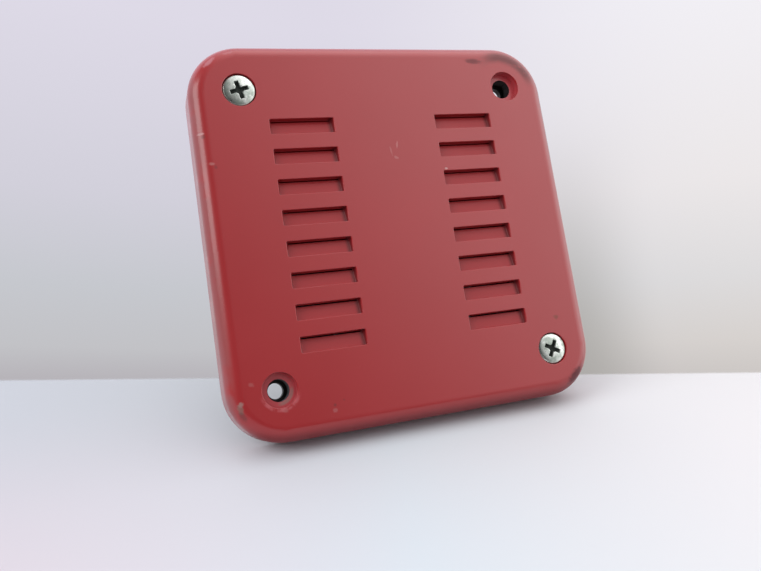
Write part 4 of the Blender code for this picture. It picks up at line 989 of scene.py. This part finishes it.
def threaded(radius, front, rear, pitch, both_ends=False, steps=20):
    """A threaded rod, its rear end and if so asked its front end cut to a short point."""
    root = radius - THREAD_DEPTH * pitch
    ridge = [(root, 0), (radius, 0.38), (radius, 0.5), (root, 0.88), (root, 1)]
    thread = coiled(ridge, pitch, front - 2 * pitch, rear + 2 * pitch, steps)
    wide = radius + THREAD_CLEARANCE
    start = [(root, front), (wide, front + wide - root)] if both_ends else [(wide, front)]
    barrel = turned([(0, front), *start, (wide, rear - wide + root), (root, rear), (0, rear)],
                    32)
    return carved(thread, ("INTERSECT", barrel))


def hexagon(flats, front, rear):
    """A hexagon along Y whose corners are turned off at both ends."""
    reach = flats / sqrt(3)
    clear = reach * 1.02
    face = flats / 2 * HEXAGON_FACE
    slope = (clear - face) * HEXAGON_SLOPE
    barrel = turned([(0, front), (face, front), (clear, front + slope),
                     (clear, rear - slope), (face, rear), (0, rear)], 72)
    return carved(rod(reach, front, rear, 6), ("INTERSECT", barrel))


def nut(node, flats, bore_r):
    """A hexagon nut with a countersunk bore in place of an imported one."""
    span = Span(node)
    front, rear = span.front, span.rear
    wide = bore_r + NUT_FLARE + MARGIN
    bore = turned([(0, front - MARGIN), (wide, front - MARGIN), (bore_r, front + NUT_FLARE),
                   (bore_r, rear - NUT_FLARE), (wide, rear + MARGIN), (0, rear + MARGIN)], 40)
    shape = soften(cut(hexagon(flats, front, rear), bore), NUT_SOFTNESS)
    piece(moved(shape, (span.middle.x, 0, span.middle.z)), node)


def screw(sizes, length, recess):
    """A domed screw along Y, its head's seat at y = 0 and its shank towards +Y."""
    head_r, height, shoulder, shank_r, pitch = sizes
    dome = [(head_r * sin(radians(a)), -height * (shoulder + (1 - shoulder) * cos(radians(a))))
            for a in range(0, 91, 10)]
    foot = 0.08 * height
    head = turned([*dome, (head_r, -foot), (head_r - foot, 0), (0, 0)], 64)
    shank = threaded(shank_r, -0.2 * height, length, pitch)
    return cut(joined(head, shank), *recess)


def slot_tool(sizes, width, depth):
    head_r, height = sizes[:2]
    tool = block((-2 * head_r, -height - MARGIN, -width / 2),
                 (2 * head_r, depth - height, width / 2))
    return soften(tool, width / 6, 2, where=lambda edge: edge.verts[0].co.y > -height
                  and edge.verts[1].co.y > -height and along(0)(edge))


def slotted_screws(nodes, sizes=SMALL_SCREW, slot=SMALL_SLOT, backwards=False):
    """Slotted screws in place of imported ones. A backwards one has its head at the rear."""
    span = Span(nodes[0])
    height = sizes[1]
    made = screw(sizes, span.size.y - height, [slot_tool(sizes, *slot)])
    if backwards:
        moved(made, turn=180, axis="Z")
    for node in nodes:
        span = Span(node)
        seat = span.rear - height if backwards else span.front + height
        piece(moved(made.copy(), (span.middle.x, seat, span.middle.z)), node)
    made.free()


def rivet(node, head_r, head_height, head_at_front=True):
    """A domed head along Y with a thin shank that is upset at its other end."""
    span = Span(node)
    length = span.size.y
    crown = 0.2 * head_height
    upset = length - RIVET_STAND
    shape = turned([
        (0, 0), (0.6 * head_r, 0.15 * crown), (0.88 * head_r, 0.6 * crown),
        (head_r, 1.6 * crown), (head_r, head_height), (RIVET_R, head_height),
        (RIVET_R, upset), (RIVET_UPSET_R, upset), (RIVET_UPSET_R, upset + RIVET_STAND / 3),
        (0.8 * RIVET_UPSET_R, length - 0.04 * MM), (0, length)], 40)
    if head_at_front:
        moved(shape, (span.middle.x, span.front, span.middle.z))
    else:
        moved(shape, turn=180, axis="Z")
        moved(shape, (span.middle.x, span.rear, span.middle.z))
    piece(shape, node, smooth=40)


def piece(shape, node, smooth=32):
    """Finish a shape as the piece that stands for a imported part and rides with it."""
    mesh = as_mesh(shape, "fine_" + node)
    mesh.shade_smooth()
    mesh.set_sharp_from_angle(angle=radians(smooth))
    mesh.materials.append(FINISHES[SLOT[node]])
    obj = in_scene("fine_" + node, mesh)
    modifier = obj.modifiers.new("even_shading", "WEIGHTED_NORMAL")
    modifier.keep_sharp = True
    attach(obj, frame["nodes"][node]["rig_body"])
    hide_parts(node)
    return obj


# ---------------------------------------------------------------------------- cover

def louvre_tops():
    """Each louvre's low x, high x and upper edge."""
    for side in (-1, 1):
        low, high = sorted((side * LOUVRE_INNER_X, side * (LOUVRE_INNER_X + LOUVRE_LENGTH)))
        for row in range(LOUVRE_ROWS):
            yield low, high, LOUVRE_TOP - row * LOUVRE_PITCH


def pocket(low, high, top):
    """The scoop that one louvre takes out of the face, deepest along its upper edge."""
    shape = block((low, FACE_Y - MARGIN, top - LOUVRE_HEIGHT), (high, FACE_Y, top))
    middle = top - LOUVRE_HEIGHT / 2
    for vert in shape.verts:
        depth = -MARGIN
        if vert.co.y > FACE_Y - MARGIN / 2:
            depth = LOUVRE_DEPTH if vert.co.z > middle else LOUVRE_LOWER_DEPTH
        inward = 1 if vert.co.x < (low + high) / 2 else -1
        vert.co.x += inward * depth * LOUVRE_DRAFT / LOUVRE_DEPTH
        vert.co.y = FACE_Y + depth
    return soften(shape, POCKET_SOFTNESS, 3,
                  where=lambda edge: any(v.co.y > FACE_Y for v in edge.verts))


def slit(low, high, top):
    inset = LOUVRE_DRAFT + SLIT_LEDGE
    upper = top - SLIT_LEDGE
    return block((low + inset, FACE_Y - MARGIN, upper - SLIT_HEIGHT),
                 (high - inset, FACE_REAR_Y + MARGIN, upper))


def front_cover():
    shell = slab(cover_span.radius, FACE_Y, cover_span.rear, COVER_CORNER_R, COVER_EDGE_R)
    hollow = slab(cover_span.radius - COVER_RIM, FACE_REAR_Y, cover_span.rear + MARGIN,
                  COVER_CORNER_R - COVER_RIM, COVER_INNER_R, edge_steps=4)
    boss_y = ((SEAT_Y + FACE_REAR_Y) / 2, plate_span.front - GAP)
    bosses = at_each(CORNERS, lambda: rod(BOSS_R, *boss_y, 64))
    holes = at_each(CORNERS, lambda: hole(SEAT_HOLE_R, FACE_Y, 0, 64))
    seats = at_each(CORNERS, lambda: rod(RECESS_R, FACE_Y - MARGIN, SEAT_Y, 64))
    pockets = gathered([pocket(*place) for place in louvre_tops()])
    body = carved(shell, ("DIFFERENCE", hollow), ("UNION", bosses), ("DIFFERENCE", holes),
                  ("DIFFERENCE", seats), ("DIFFERENCE", pockets))
    bmesh.ops.dissolve_limit(body, angle_limit=radians(0.5), verts=body.verts,
                             edges=body.edges)

    def on_face(edge):
        return all(abs(vert.co.y - FACE_Y) < WELD for vert in edge.verts)

    soften(body, FACE_SOFTNESS, 4, 18, on_face)
    body = cut(body, gathered([slit(*place) for place in louvre_tops()]))
    piece(body, "front_cover")


# ------------------------------------------------------------------------ fasteners

def cross_tools(height):
    """What a cross-shaped driver recess takes out of a head of the given height."""
    length, width, depth = CROSS_RECESS
    tools = []
    for turn in (0, 90):
        wing = block((-length / 2, -height - MARGIN, -width / 2),
                     (length / 2, depth - height, width / 2))
        for vert in wing.verts:
            if vert.co.y > -height:
                vert.co.x *= CROSS_TAPER[0]
                vert.co.z *= CROSS_TAPER[1]
        tools.append(moved(wing, turn=turn))
    tools.append(rod(width * 1.2, -height - MARGIN, depth * 1.1 - height, 24, width * 0.4))
    return tools


def cover_screws():
    height = COVER_SCREW[1]
    made = screw(COVER_SCREW, Span("cover_screw_upper_left").size.y - height,
                 cross_tools(height))
    soften(made, HEAD_SOFTNESS, 2, 40, lambda edge: edge.verts[0].co.y < -0.3 * height)
    for name, turn, (x, z) in (("upper_left", UPPER_LEFT_TURN, UPPER_LEFT),
                               ("lower_right", LOWER_RIGHT_TURN, LOWER_RIGHT)):
        seat = Span("cover_screw_" + name).front + height
        piece(moved(made.copy(), (x, seat, z), -turn), "cover_screw_" + name)
        nut("cover_nut_" + name, *COVER_NUT)
    made.free()


def core_screw():
    """The hexagon-headed bolt that holds the core and the yoke to the frame's back."""
    span = Span("core_screw")
    head_front = span.rear - CORE_HEAD_HEIGHT
    head = hexagon(CORE_HEAD_FLATS, head_front, span.rear)
    shank = threaded(CORE_SHANK_R, -head_front - CORE_SHANK_SINK, -span.front, CORE_PITCH)
    piece(joined(head, moved(shank, turn=180, axis="Z")), "core_screw")


# -------------------------------------------------------------- plate, foam, gaskets

def mounting_plate():
    span = plate_span
    body = slab(span.radius, span.front, span.rear, PLATE_CORNER_R, corner_steps=12)
    body = cut(body, hole(SOUND_HOLE_R, span.front, span.rear, 128),
               holes_at(CORNERS, span, PLATE_HOLE_R, 48), holes_at(CLAMP_PLACES, span))
    piece(soften(body, PLATE_SOFTNESS), "mounting_plate")


def wall_gasket():
    span = Span("wall_gasket")
    body = slab(span.radius, span.front, span.rear, PLATE_CORNER_R, corner_steps=12)
    opening = slab(FOAM_INSIDE, span.front - MARGIN, span.rear + MARGIN, PLATE_CORNER_R / 2,
                   corner_steps=8)
    foam = piece(soften(cut(body, opening), FOAM_SOFTNESS, 4), "wall_gasket")


def diaphragm_gaskets():
    for node in ("diaphragm_gasket_front", "diaphragm_gasket_rear"):
        span = Span(node)
        body = ring(FRAME_R, span.radius, span.front, span.rear, GASKET_SOFTNESS, 128)
        piece(cut(body, holes_at(CLAMP_PLACES, span)), node)


# ------------------------------------------------------- horn frame and what it holds

def horn_frame():
    """A turned basket with four side windows, two back windows and its screw holes."""
    flange_front = horn_span.front
    flange_rear = flange_front + FRAME_WALL
    bore_r = FRAME_R - FRAME_WALL
    bend = [(FRAME_R - FRAME_WALL * (1 - sin(radians(a))),
             BACK_REAR_Y - FRAME_WALL * (1 - cos(radians(a)))) for a in range(0, 91, 15)]
    foot = [(FRAME_R + FLANGE_FOOT_R * (1 - cos(radians(a))),
             flange_rear + FLANGE_FOOT_R * (1 - sin(radians(a)))) for a in range(0, 91, 30)]
    profile = [(0, BACK_REAR_Y), *bend, *foot, (horn_span.radius, flange_rear),
               (horn_span.radius, flange_front), (bore_r, flange_front),
               (bore_r, BACK_FRONT_Y), (0, BACK_FRONT_Y)]
    body = turned(profile, 128)
    window_y = (flange_rear + WINDOW_FRONT, BACK_FRONT_Y - WINDOW_REAR)
    tools = []
    for turn in (45, 135):
        tool = block((-horn_span.radius, window_y[0], -WINDOW_WIDTH / 2),
                     (horn_span.radius, window_y[1], WINDOW_WIDTH / 2))
        tools.append(moved(soften(tool, WINDOW_CORNER_R, 6, where=along(0)), turn=-turn))
    wide, long = BACK_WINDOW
    for turn in (135, 45):
        tool = block((BACK_WINDOW_R - wide / 2, BACK_FRONT_Y - MARGIN, -long / 2),
                     (BACK_WINDOW_R + wide / 2, BACK_REAR_Y + MARGIN, long / 2))
        tools.append(moved(soften(tool, BACK_WINDOW_CORNER_R, 6, where=along(1)), turn=turn))
    small = [*STACK_PLACES, *EAR_PLACES, ADJUSTER_PLACE]
    back = (BACK_FRONT_Y, BACK_REAR_Y)
    tools.append(at_each(small, lambda: hole(CLAMP_HOLE_R, *back)))
    tools.append(hole(CORE_HOLE_R, *back, 40))
    tools.append(moved(hole(GROMMET_HOLE_R, *back, 40), (0, 0, Span("lead_grommet").middle.z)))
    tools.append(at_each(CLAMP_PLACES, lambda: hole(CLAMP_HOLE_R, flange_front, flange_rear)))
    body = cut(body, *tools)
    piece(soften(body, FRAME_SOFTNESS, 2, 35), "horn_frame")


def grommet():
    span = Span("lead_grommet")
    groove = GROMMET_HOLE_R - GAP
    front, rear = BACK_FRONT_Y - GAP, BACK_REAR_Y + GAP
    body = turned([(span.radius, span.rear), (span.radius, rear), (groove, rear),
                   (groove, front), (span.radius, front), (span.radius, span.front),
                   (GROMMET_BORE_R, span.front), (GROMMET_BORE_R, span.rear)], 64, ring=True)
    soften(body, GROMMET_SOFTNESS, 4, where=lambda edge:
           edge.verts[0].co.y < front - GROMMET_LIP / 2
           or edge.verts[0].co.y > rear + GROMMET_LIP / 2)
    piece(moved(body, (span.middle.x, 0, span.middle.z)), "lead_grommet")


# ------------------------------------------------- diaphragm and what moves with it

def diaphragm():
    """A spun sheet with one bead, thin at its clamped rim."""
    span = Span("diaphragm")
    front = span.front
    rear = span.rear - BEAD_HEIGHT
    bead = [(BEAD_R + BEAD_HALF_WIDTH * (2 * share - 1), BEAD_HEIGHT * sin(pi * share) ** 2)
            for share in [step / 16 for step in range(17)]]
    inner = FRAME_R - RIM_INSET
    body = turned([(STUD_HOLE_R, rear), *[(r, rear + rise) for r, rise in bead],
                   (inner, rear), (inner + RIM_SLOPE, front + CLAMPED_RIM),
                   (span.radius, front + CLAMPED_RIM), (span.radius, front),
                   *[(r, front + rise) for r, rise in reversed(bead)],
                   (STUD_HOLE_R, front)], 160, ring=True)
    piece(cut(body, holes_at(CLAMP_PLACES, span)), "diaphragm", smooth=40)


def centre_hardware():
    for node in ("centre_washer_front", "centre_washer_rear"):
        span = Span(node)
        piece(ring(STUD_HOLE_R, span.radius, span.front, span.rear, WASHER_SOFTNESS), node)
    nut("centre_nut", *CENTRE_NUT)
    span = Span("armature_stud")
    piece(threaded(STUD_R, span.front, span.rear, STUD_PITCH, both_ends=True, steps=28),
          "armature_stud")
    span = Span("armature")
    disc = span.rear - ARMATURE_THICKNESS
    body = turned([(span.radius, span.rear), (span.radius, disc), (HUB_R, disc),
                   (HUB_R, span.front), (STUD_HOLE_R, span.front), (STUD_HOLE_R, span.rear)],
                  96, ring=True)
    piece(soften(body, ARMATURE_SOFTNESS, 3), "armature")


# -------------------------------------------------------------------- electromagnet

def magnet_yoke():
    """A strip bent to a U, its legs along Y, with a hole for the core's bolt."""
    span = Span("magnet_yoke")
    bend = YOKE_THICKNESS
    outside = block(span.low, span.high)
    soften(outside, bend, 8, where=lambda edge: along(0)(edge)
           and edge.verts[0].co.y > span.middle.y)
    inside = block((span.low.x - MARGIN, span.front - MARGIN, span.low.z + YOKE_THICKNESS),
                   (span.high.x + MARGIN, span.rear - YOKE_THICKNESS,
                    span.high.z - YOKE_THICKNESS))
    soften(inside, 0.3 * bend, 4, where=lambda edge: along(0)(edge)
           and edge.verts[0].co.y > span.middle.y)
    body = cut(outside, inside, hole(CORE_HOLE_R, span.rear - YOKE_THICKNESS, span.rear, 40))
    piece(soften(body, YOKE_SOFTNESS, 2, 50), "magnet_yoke")


def magnet_core():
    span = Span("magnet_core")
    bottom = span.rear - CORE_BORE_DEPTH
    edge = CORE_CHAMFER
    cone = bottom + CORE_BORE_CONE
    piece(turned([(0, bottom), (CORE_HOLE_R, cone), (CORE_HOLE_R, span.rear - edge),
                  (CORE_HOLE_R + edge, span.rear), (CORE_R - edge, span.rear),
                  (CORE_R, span.rear - edge), (CORE_R, span.front + edge),
                  (CORE_R - edge, span.front), (0, span.front)], 72), "magnet_core")


def coil():
    span = Span("coil_bobbin")
    winding = Span("coil_winding")
    bore_r = CORE_R + GAP
    hub_r = bore_r + BOBBIN_WALL
    front, rear = span.front + BOBBIN_WALL, span.rear - BOBBIN_WALL
    body = turned([(span.radius, span.rear), (span.radius, rear), (hub_r, rear),
                   (hub_r, front), (span.radius, front), (span.radius, span.front),
                   (bore_r, span.front), (bore_r, span.rear)], 96, ring=True)
    piece(soften(body, BOBBIN_SOFTNESS, 3), "coil_bobbin")
    wire_r = COIL_WIRE / 2
    bump = [(winding.radius - wire_r + wire_r * sin(pi * share), share)
            for share in (0, 0.15, 0.35, 0.65, 0.85, 1)]
    turns = coiled(bump, COIL_WIRE, winding.front - COIL_WIRE, winding.rear + COIL_WIRE, 64)
    sleeve = turned([(winding.radius + MARGIN, winding.rear),
                     (winding.radius + MARGIN, winding.front), (hub_r + GAP, winding.front),
                     (hub_r + GAP, winding.rear)], 96, ring=True)
    piece(carved(turns, ("INTERSECT", sleeve)), "coil_winding", smooth=50)


# ------------------------------------------------------------------ contact breaker

def breaker_stack():
    span = Span("breaker_block")
    body = soften(block(span.low, span.high), STACK_EDGE_R, 3)
    piece(soften(cut(body, holes_at(STACK_PLACES, span)), STACK_SOFTNESS, 2, 50),
          "breaker_block")
    span = Span("contact_insulator")
    body = soften(block(span.low, span.high), INSULATOR_CORNER_R, 4, where=along(1))
    piece(soften(cut(body, holes_at(STACK_PLACES, span)), INSULATOR_SOFTNESS, 2, 50),
          "contact_insulator")
    slotted_screws(BREAKER_SCREWS)
    span = Span("contact_bracket")
    body = soften(block(span.low, span.high), BRACKET_CORNER_R, 5, where=along(1))
    body = cut(body, holes_at(STACK_PLACES, span),
               holes_at([CONTACT_PLACE], span, RIVET_R + GAP))
    piece(soften(body, STACK_SOFTNESS, 2, 50), "contact_bracket")


def contact_arm():
    span = Span("contact_arm")
    root_low = Span("breaker_block").low.x + ARM_ROOT_INSET
    root = block((root_low, span.front, span.low.z), span.high)
    reach = block((span.low.x, span.front, -ARM_HALF_WIDTH),
                  (span.high.x - ARM_HALF_WIDTH, span.rear, ARM_HALF_WIDTH))
    body = soften(joined(root, reach), ARM_CORNER_R, 5, where=along(1))
    body = cut(body, holes_at((PUSHER_PLACE, CONTACT_PLACE), span, RIVET_R + GAP),
               holes_at(STACK_PLACES, span, CLAMP_HOLE_R + ARM_HOLE_EXTRA))
    piece(soften(body, ARM_SOFTNESS, 2, 50), "contact_arm")


def contacts():
    rivet("fixed_contact", *FIXED_HEAD, head_at_front=False)
    rivet("moving_contact", *MOVING_HEAD)
    rivet("contact_pusher", *PUSHER_HEAD)


# ------------------------------------------------------------------------ terminals

def terminal_block():
    """A moulded block with ears, barriers between its terminals and a well under each."""
    span = Span("terminal_block")
    thickness, height, length = BARRIER
    top = span.rear - height
    middle_z = TERMINAL_PLACES[0][1]
    body = block((span.low.x + EAR_LENGTH, span.front, span.low.z),
                 (span.high.x - EAR_LENGTH, top, span.high.z))
    soften(body, BLOCK_EDGE_R, 3)
    ears = soften(block((span.low.x, span.front, middle_z - EAR_HEIGHT / 2),
                        (span.high.x, span.front + EAR_THICKNESS, middle_z + EAR_HEIGHT / 2)),
                  EAR_CORNER_R, 6, where=along(1))
    xs = [x for x, z in TERMINAL_PLACES]
    barriers = []
    for left, right in zip(xs, xs[1:]):
        middle = (left + right) / 2
        fin = block((middle - thickness / 2, top - MARGIN, middle_z - length / 2),
                    (middle + thickness / 2, span.rear, middle_z + length / 2))
        barriers.append(soften(fin, BARRIER_EDGE_R, 3))
    wells = at_each(TERMINAL_PLACES, lambda: rod(WELL_R, top - WELL_DEPTH, top + MARGIN, 40))
    ear_holes = at_each(EAR_PLACES, lambda: hole(CLAMP_HOLE_R, span.front,
                                                 span.front + EAR_THICKNESS))
    body = carved(body, ("UNION", ears), ("UNION", gathered(barriers)),
                  ("DIFFERENCE", wells), ("DIFFERENCE", ear_holes))
    piece(soften(body, BLOCK_SOFTNESS, 2, 50), "terminal_block")


def terminal_clamps():
    for node, place in zip(numbered("terminal_clamp", 4), TERMINAL_PLACES):
        span = Span(node)
        clamp_plate = block(span.low, (span.high.x, span.rear, span.high.z - TAG_LENGTH))
        tag = block((span.middle.x - TAG_WIDTH / 2, span.front,
                     span.high.z - TAG_LENGTH - MARGIN),
                    (span.middle.x + TAG_WIDTH / 2, span.rear, span.high.z))
        body = soften(joined(clamp_plate, tag), CLAMP_CORNER_R, 4, where=along(1))
        body = cut(body, holes_at([place], span, WELL_R, 40))
        piece(soften(body, CLAMP_SOFTNESS, 2, 50), node)


# ----------------------------------------------------------- small electrical parts

def capacitor():
    span = Span("suppressor_capacitor")
    breaker = Span("breaker_block")
    bracket = Span("contact_bracket")
    middle = breaker.middle.y
    body = block((span.low.x, middle - CAPACITOR_LENGTH / 2, span.low.z),
                 (span.high.x, middle + CAPACITOR_LENGTH / 2, span.high.z))
    soften(body, CAPACITOR_EDGE_R, 5)
    spread = breaker.size.x / 4
    lead_z = span.low.z + 2 * LEAD_R
    leads = [moved(rod(LEAD_R, end_y, middle, 20), (x, 0, lead_z))
             for x, end_y in ((breaker.middle.x - spread, bracket.front),
                              (breaker.middle.x + spread, Span("contact_arm").front))]
    piece(joined(body, *leads), "suppressor_capacitor", smooth=40)


def diode():
    span = Span("series_diode")
    body_r = span.size.z / 2
    half, reach, edge = DIODE_LENGTH / 2, span.size.x / 2, DIODE_EDGE
    body = turned([(0, reach), (LEAD_R, reach), (LEAD_R, half), (body_r - edge, half),
                   (body_r - edge / 3, half - edge / 3), (body_r, half - edge),
                   (body_r, edge - half), (body_r - edge / 3, edge / 3 - half),
                   (body_r - edge, -half), (LEAD_R, -half), (LEAD_R, -reach), (0, -reach)], 40)
    piece(moved(body, span.middle, 90, "Z"), "series_diode", smooth=25)


def tube(stations):
    """A round closed tube through stations, each a place and the tube's radius there."""
    curve = bpy.data.curves.new("tube", "CURVE")
    curve.dimensions = "3D"
    curve.bevel_depth = WIRE_R
    curve.bevel_resolution = 5
    curve.use_fill_caps = True
    spline = curve.splines.new("POLY")
    spline.points.add(len(stations) - 1)
    for point, (place, radius) in zip(spline.points, stations):
        point.co = (*place, 1)
        point.radius = radius / WIRE_R
    obj = in_scene("tube", curve)
    bpy.context.view_layer.update()
    mesh = bpy.data.meshes.new_from_object(
        obj.evaluated_get(bpy.context.evaluated_depsgraph_get()))
    shape = bmesh.new()
    shape.from_mesh(mesh)
    bpy.data.curves.remove(curve)
    bpy.data.meshes.remove(mesh)
    bmesh.ops.remove_doubles(shape, verts=shape.verts, dist=WELD)
    bmesh.ops.recalc_face_normals(shape, faces=shape.faces)
    return shape


def stripped(route):
    """A lead's stations along its route: bare conductor at both ends, insulated between."""
    def reach(place):
        return min((place - route[0]).length, (place - route[-1]).length)

    stations = []
    for place in route:
        radius = CONDUCTOR_R if reach(place) < BARE_LENGTH else WIRE_R
        if stations and radius != stations[-1][1]:
            last, last_radius = stations[-1]
            share = (BARE_LENGTH - reach(last)) / (reach(place) - reach(last))
            half = (place - last).normalized() * STRIP_STEP / 2
            step = last.lerp(place, share)
            stations += [(step - half, last_radius), (step + half, radius)]
        stations.append((place, radius))
    return stations


def leads():
    for node, route in ROUTES.items():
        piece(tube(stripped(route)), node, smooth=50)


# ------------------------------------------------------------------ stage and camera

def table():
    """The pale table top under the siren, which ends in a soft edge behind it."""
    shape = bmesh.new()
    bmesh.ops.create_grid(shape, x_segments=1, y_segments=1, size=TABLE_SIZE / 2)
    moved(shape, (0, -TABLE_SIZE / 2, 0))
    moved(shape, (0, TABLE_EDGE_Y, 0), TABLE_EDGE_TURN, "Z")
    for vert in shape.verts:
        vert.co.z = TABLE_TOUCH_Z + TABLE_RISE * vert.co.y
    mesh = as_mesh(shape, "table")
    shader = Shader("table")
    # The table is painted lighter to the right and towards the front: painted light.
    across = shader.ramp(shader.x - shader.y * 0.3, -0.16, 0.14)
    far = shader.colours(across, (0.0, tint(205, 208, 217)), (0.5, tint(226, 230, 234)),
                         (1.0, tint(238, 236, 238)))
    close = shader.colours(across, (0.0, tint(224, 210, 220)), (0.5, tint(228, 237, 245)),
                           (1.0, tint(249, 245, 247)))
    colour = shader.blend(shader.ramp(shader.y * -1.0, -0.05, 0.06), far, close)
    paths = shader.node("ShaderNodeLightPath").socket.node.outputs
    bounced = Value(shader, paths["Is Diffuse Ray"])
    colour = shader.blend(bounced, colour, tint(132, 130, 134))
    turn = radians(TABLE_EDGE_TURN)
    inset = (shader.y - TABLE_EDGE_Y) * -cos(turn) + shader.x * sin(turn)
    mesh.materials.append(shader.finish(colour, 0.7, Alpha=shader.ramp(inset, 0, 2 * MM)))
    in_scene("table", mesh)


def world():
    """Soft light that is stronger from the upper right, and a pale wall behind it all, painted
    lighter to the right and upwards, with a painted shadow of the siren on it.
    """
    made = bpy.data.worlds.new("studio")
    bpy.context.scene.world = made
    made.use_nodes = True
    made.node_tree.nodes.clear()
    sky = Wiring(made.node_tree)
    x, y, z = sky.axes(sky.node("ShaderNodeTexCoord", output="Generated"))
    # The wall is painted lighter to the right and upwards: painted light.
    height = z + x * 0.153
    left = sky.colours(height, (0.05, tint(183, 180, 185)), (0.09, tint(194, 194, 198)),
                       (0.17, tint(198, 200, 206)), (0.29, tint(210, 208, 219)),
                       (0.5, tint(222, 218, 231)))
    right = sky.colours(height, (0.05, tint(206, 201, 198)), (0.09, tint(215, 210, 207)),
                        (0.17, tint(222, 220, 221)), (0.29, tint(236, 232, 233)),
                        (0.5, tint(243, 241, 246)))
    wall = sky.blend(sky.ramp(x, 0.25, 0.76), left, right)
    # Painted shadow of the siren on the wall near its lower right.
    shade = sky.ramp(abs(x - 0.555), 0.1, 0.0) * sky.ramp(height, 0.42, 0.06)
    wall = sky.blend(shade * 0.75, wall, tint(164, 162, 158))
    paths = sky.node("ShaderNodeLightPath").socket.node.outputs
    camera_ray, glossy, through = [Value(sky, paths[name]) for name in (
        "Is Camera Ray", "Is Glossy Ray", "Is Transmission Ray")]
    glow = sky.ramp(x + z * 0.64, 0.1, 0.85, 0.05, 2.0)
    ahead = sky.ramp(y, 0.1, -0.1)
    reflected = sky.node("ShaderNodeBackground", sockets={"Color": wall, "Strength": 1.25})
    bright = sky.node("ShaderNodeBackground", sockets={"Color": (1, 0.985, 1, 1),
                                                       "Strength": glow})
    sheen = sky.node("ShaderNodeMixShader", sockets={0: ahead, 1: reflected, 2: bright})
    lit = sky.node("ShaderNodeBackground", sockets={
        "Color": (0.97, 0.98, 1.0, 1), "Strength": sky.ramp(z + x * 0.3, -0.7, 0.9, 0.33, 0.98)})
    seen = sky.node("ShaderNodeBackground", sockets={"Color": wall, "Strength": 1.0})
    light = sky.node("ShaderNodeMixShader", sockets={0: glossy, 1: lit, 2: sheen})
    shown = sky.node("ShaderNodeMixShader", sockets={
        0: camera_ray.larger(through), 1: light, 2: seen})
    sky.node("ShaderNodeOutputWorld", sockets={"Surface": shown})


def lamp(name, place, size, power):
    """A square softbox that faces the middle of the siren."""
    data = bpy.data.lights.new(name, "AREA")
    data.shape = "SQUARE"
    data.size = size
    data.energy = power
    obj = in_scene(name, data)
    obj.location = place
    obj.rotation_euler = Vector(place).to_track_quat("Z", "Y").to_euler()


def camera():
    data = bpy.data.cameras.new("camera")
    data.lens = CAMERA_LENS
    data.sensor_width = CAMERA_SENSOR
    data.clip_start = 5 * MM
    data.clip_end = 20.0
    obj = in_scene("camera", data)
    aim = CAMERA_AIM.to_track_quat("-Z", "Y").to_matrix().to_4x4()
    roll = Matrix.Rotation(-radians(CAMERA_ROLL), 4, "Z")
    obj.matrix_world = Matrix.Translation(CAMERA_PLACE) @ aim @ roll
    bpy.context.scene.camera = obj


for name, obj in frame["nodes"].items():
    obj.data.materials.clear()
    obj.data.materials.append(FINISHES[SLOT[name]])

camera()
table()
world()
lamp("key", (-0.95, -0.47, 0.5), 0.7, 5.0)
bpy.context.scene.view_settings.view_transform = "Standard"

front_cover()
cover_screws()
mounting_plate()
wall_gasket()
diaphragm_gaskets()
diaphragm()
centre_hardware()
horn_frame()
slotted_screws(FRAME_SCREWS, backwards=True)
magnet_yoke()
magnet_core()
core_screw()
coil()
breaker_stack()
contact_arm()
contacts()
slotted_screws(("adjusting_screw",), backwards=True)
nut("adjusting_lock_nut", *LOCK_NUT)
terminal_block()
terminal_clamps()
slotted_screws(TERMINAL_SCREWS, TERMINAL_SCREW, TERMINAL_SLOT, backwards=True)
slotted_screws(BLOCK_SCREWS, backwards=True)
capacitor()
diode()
grommet()
leads()
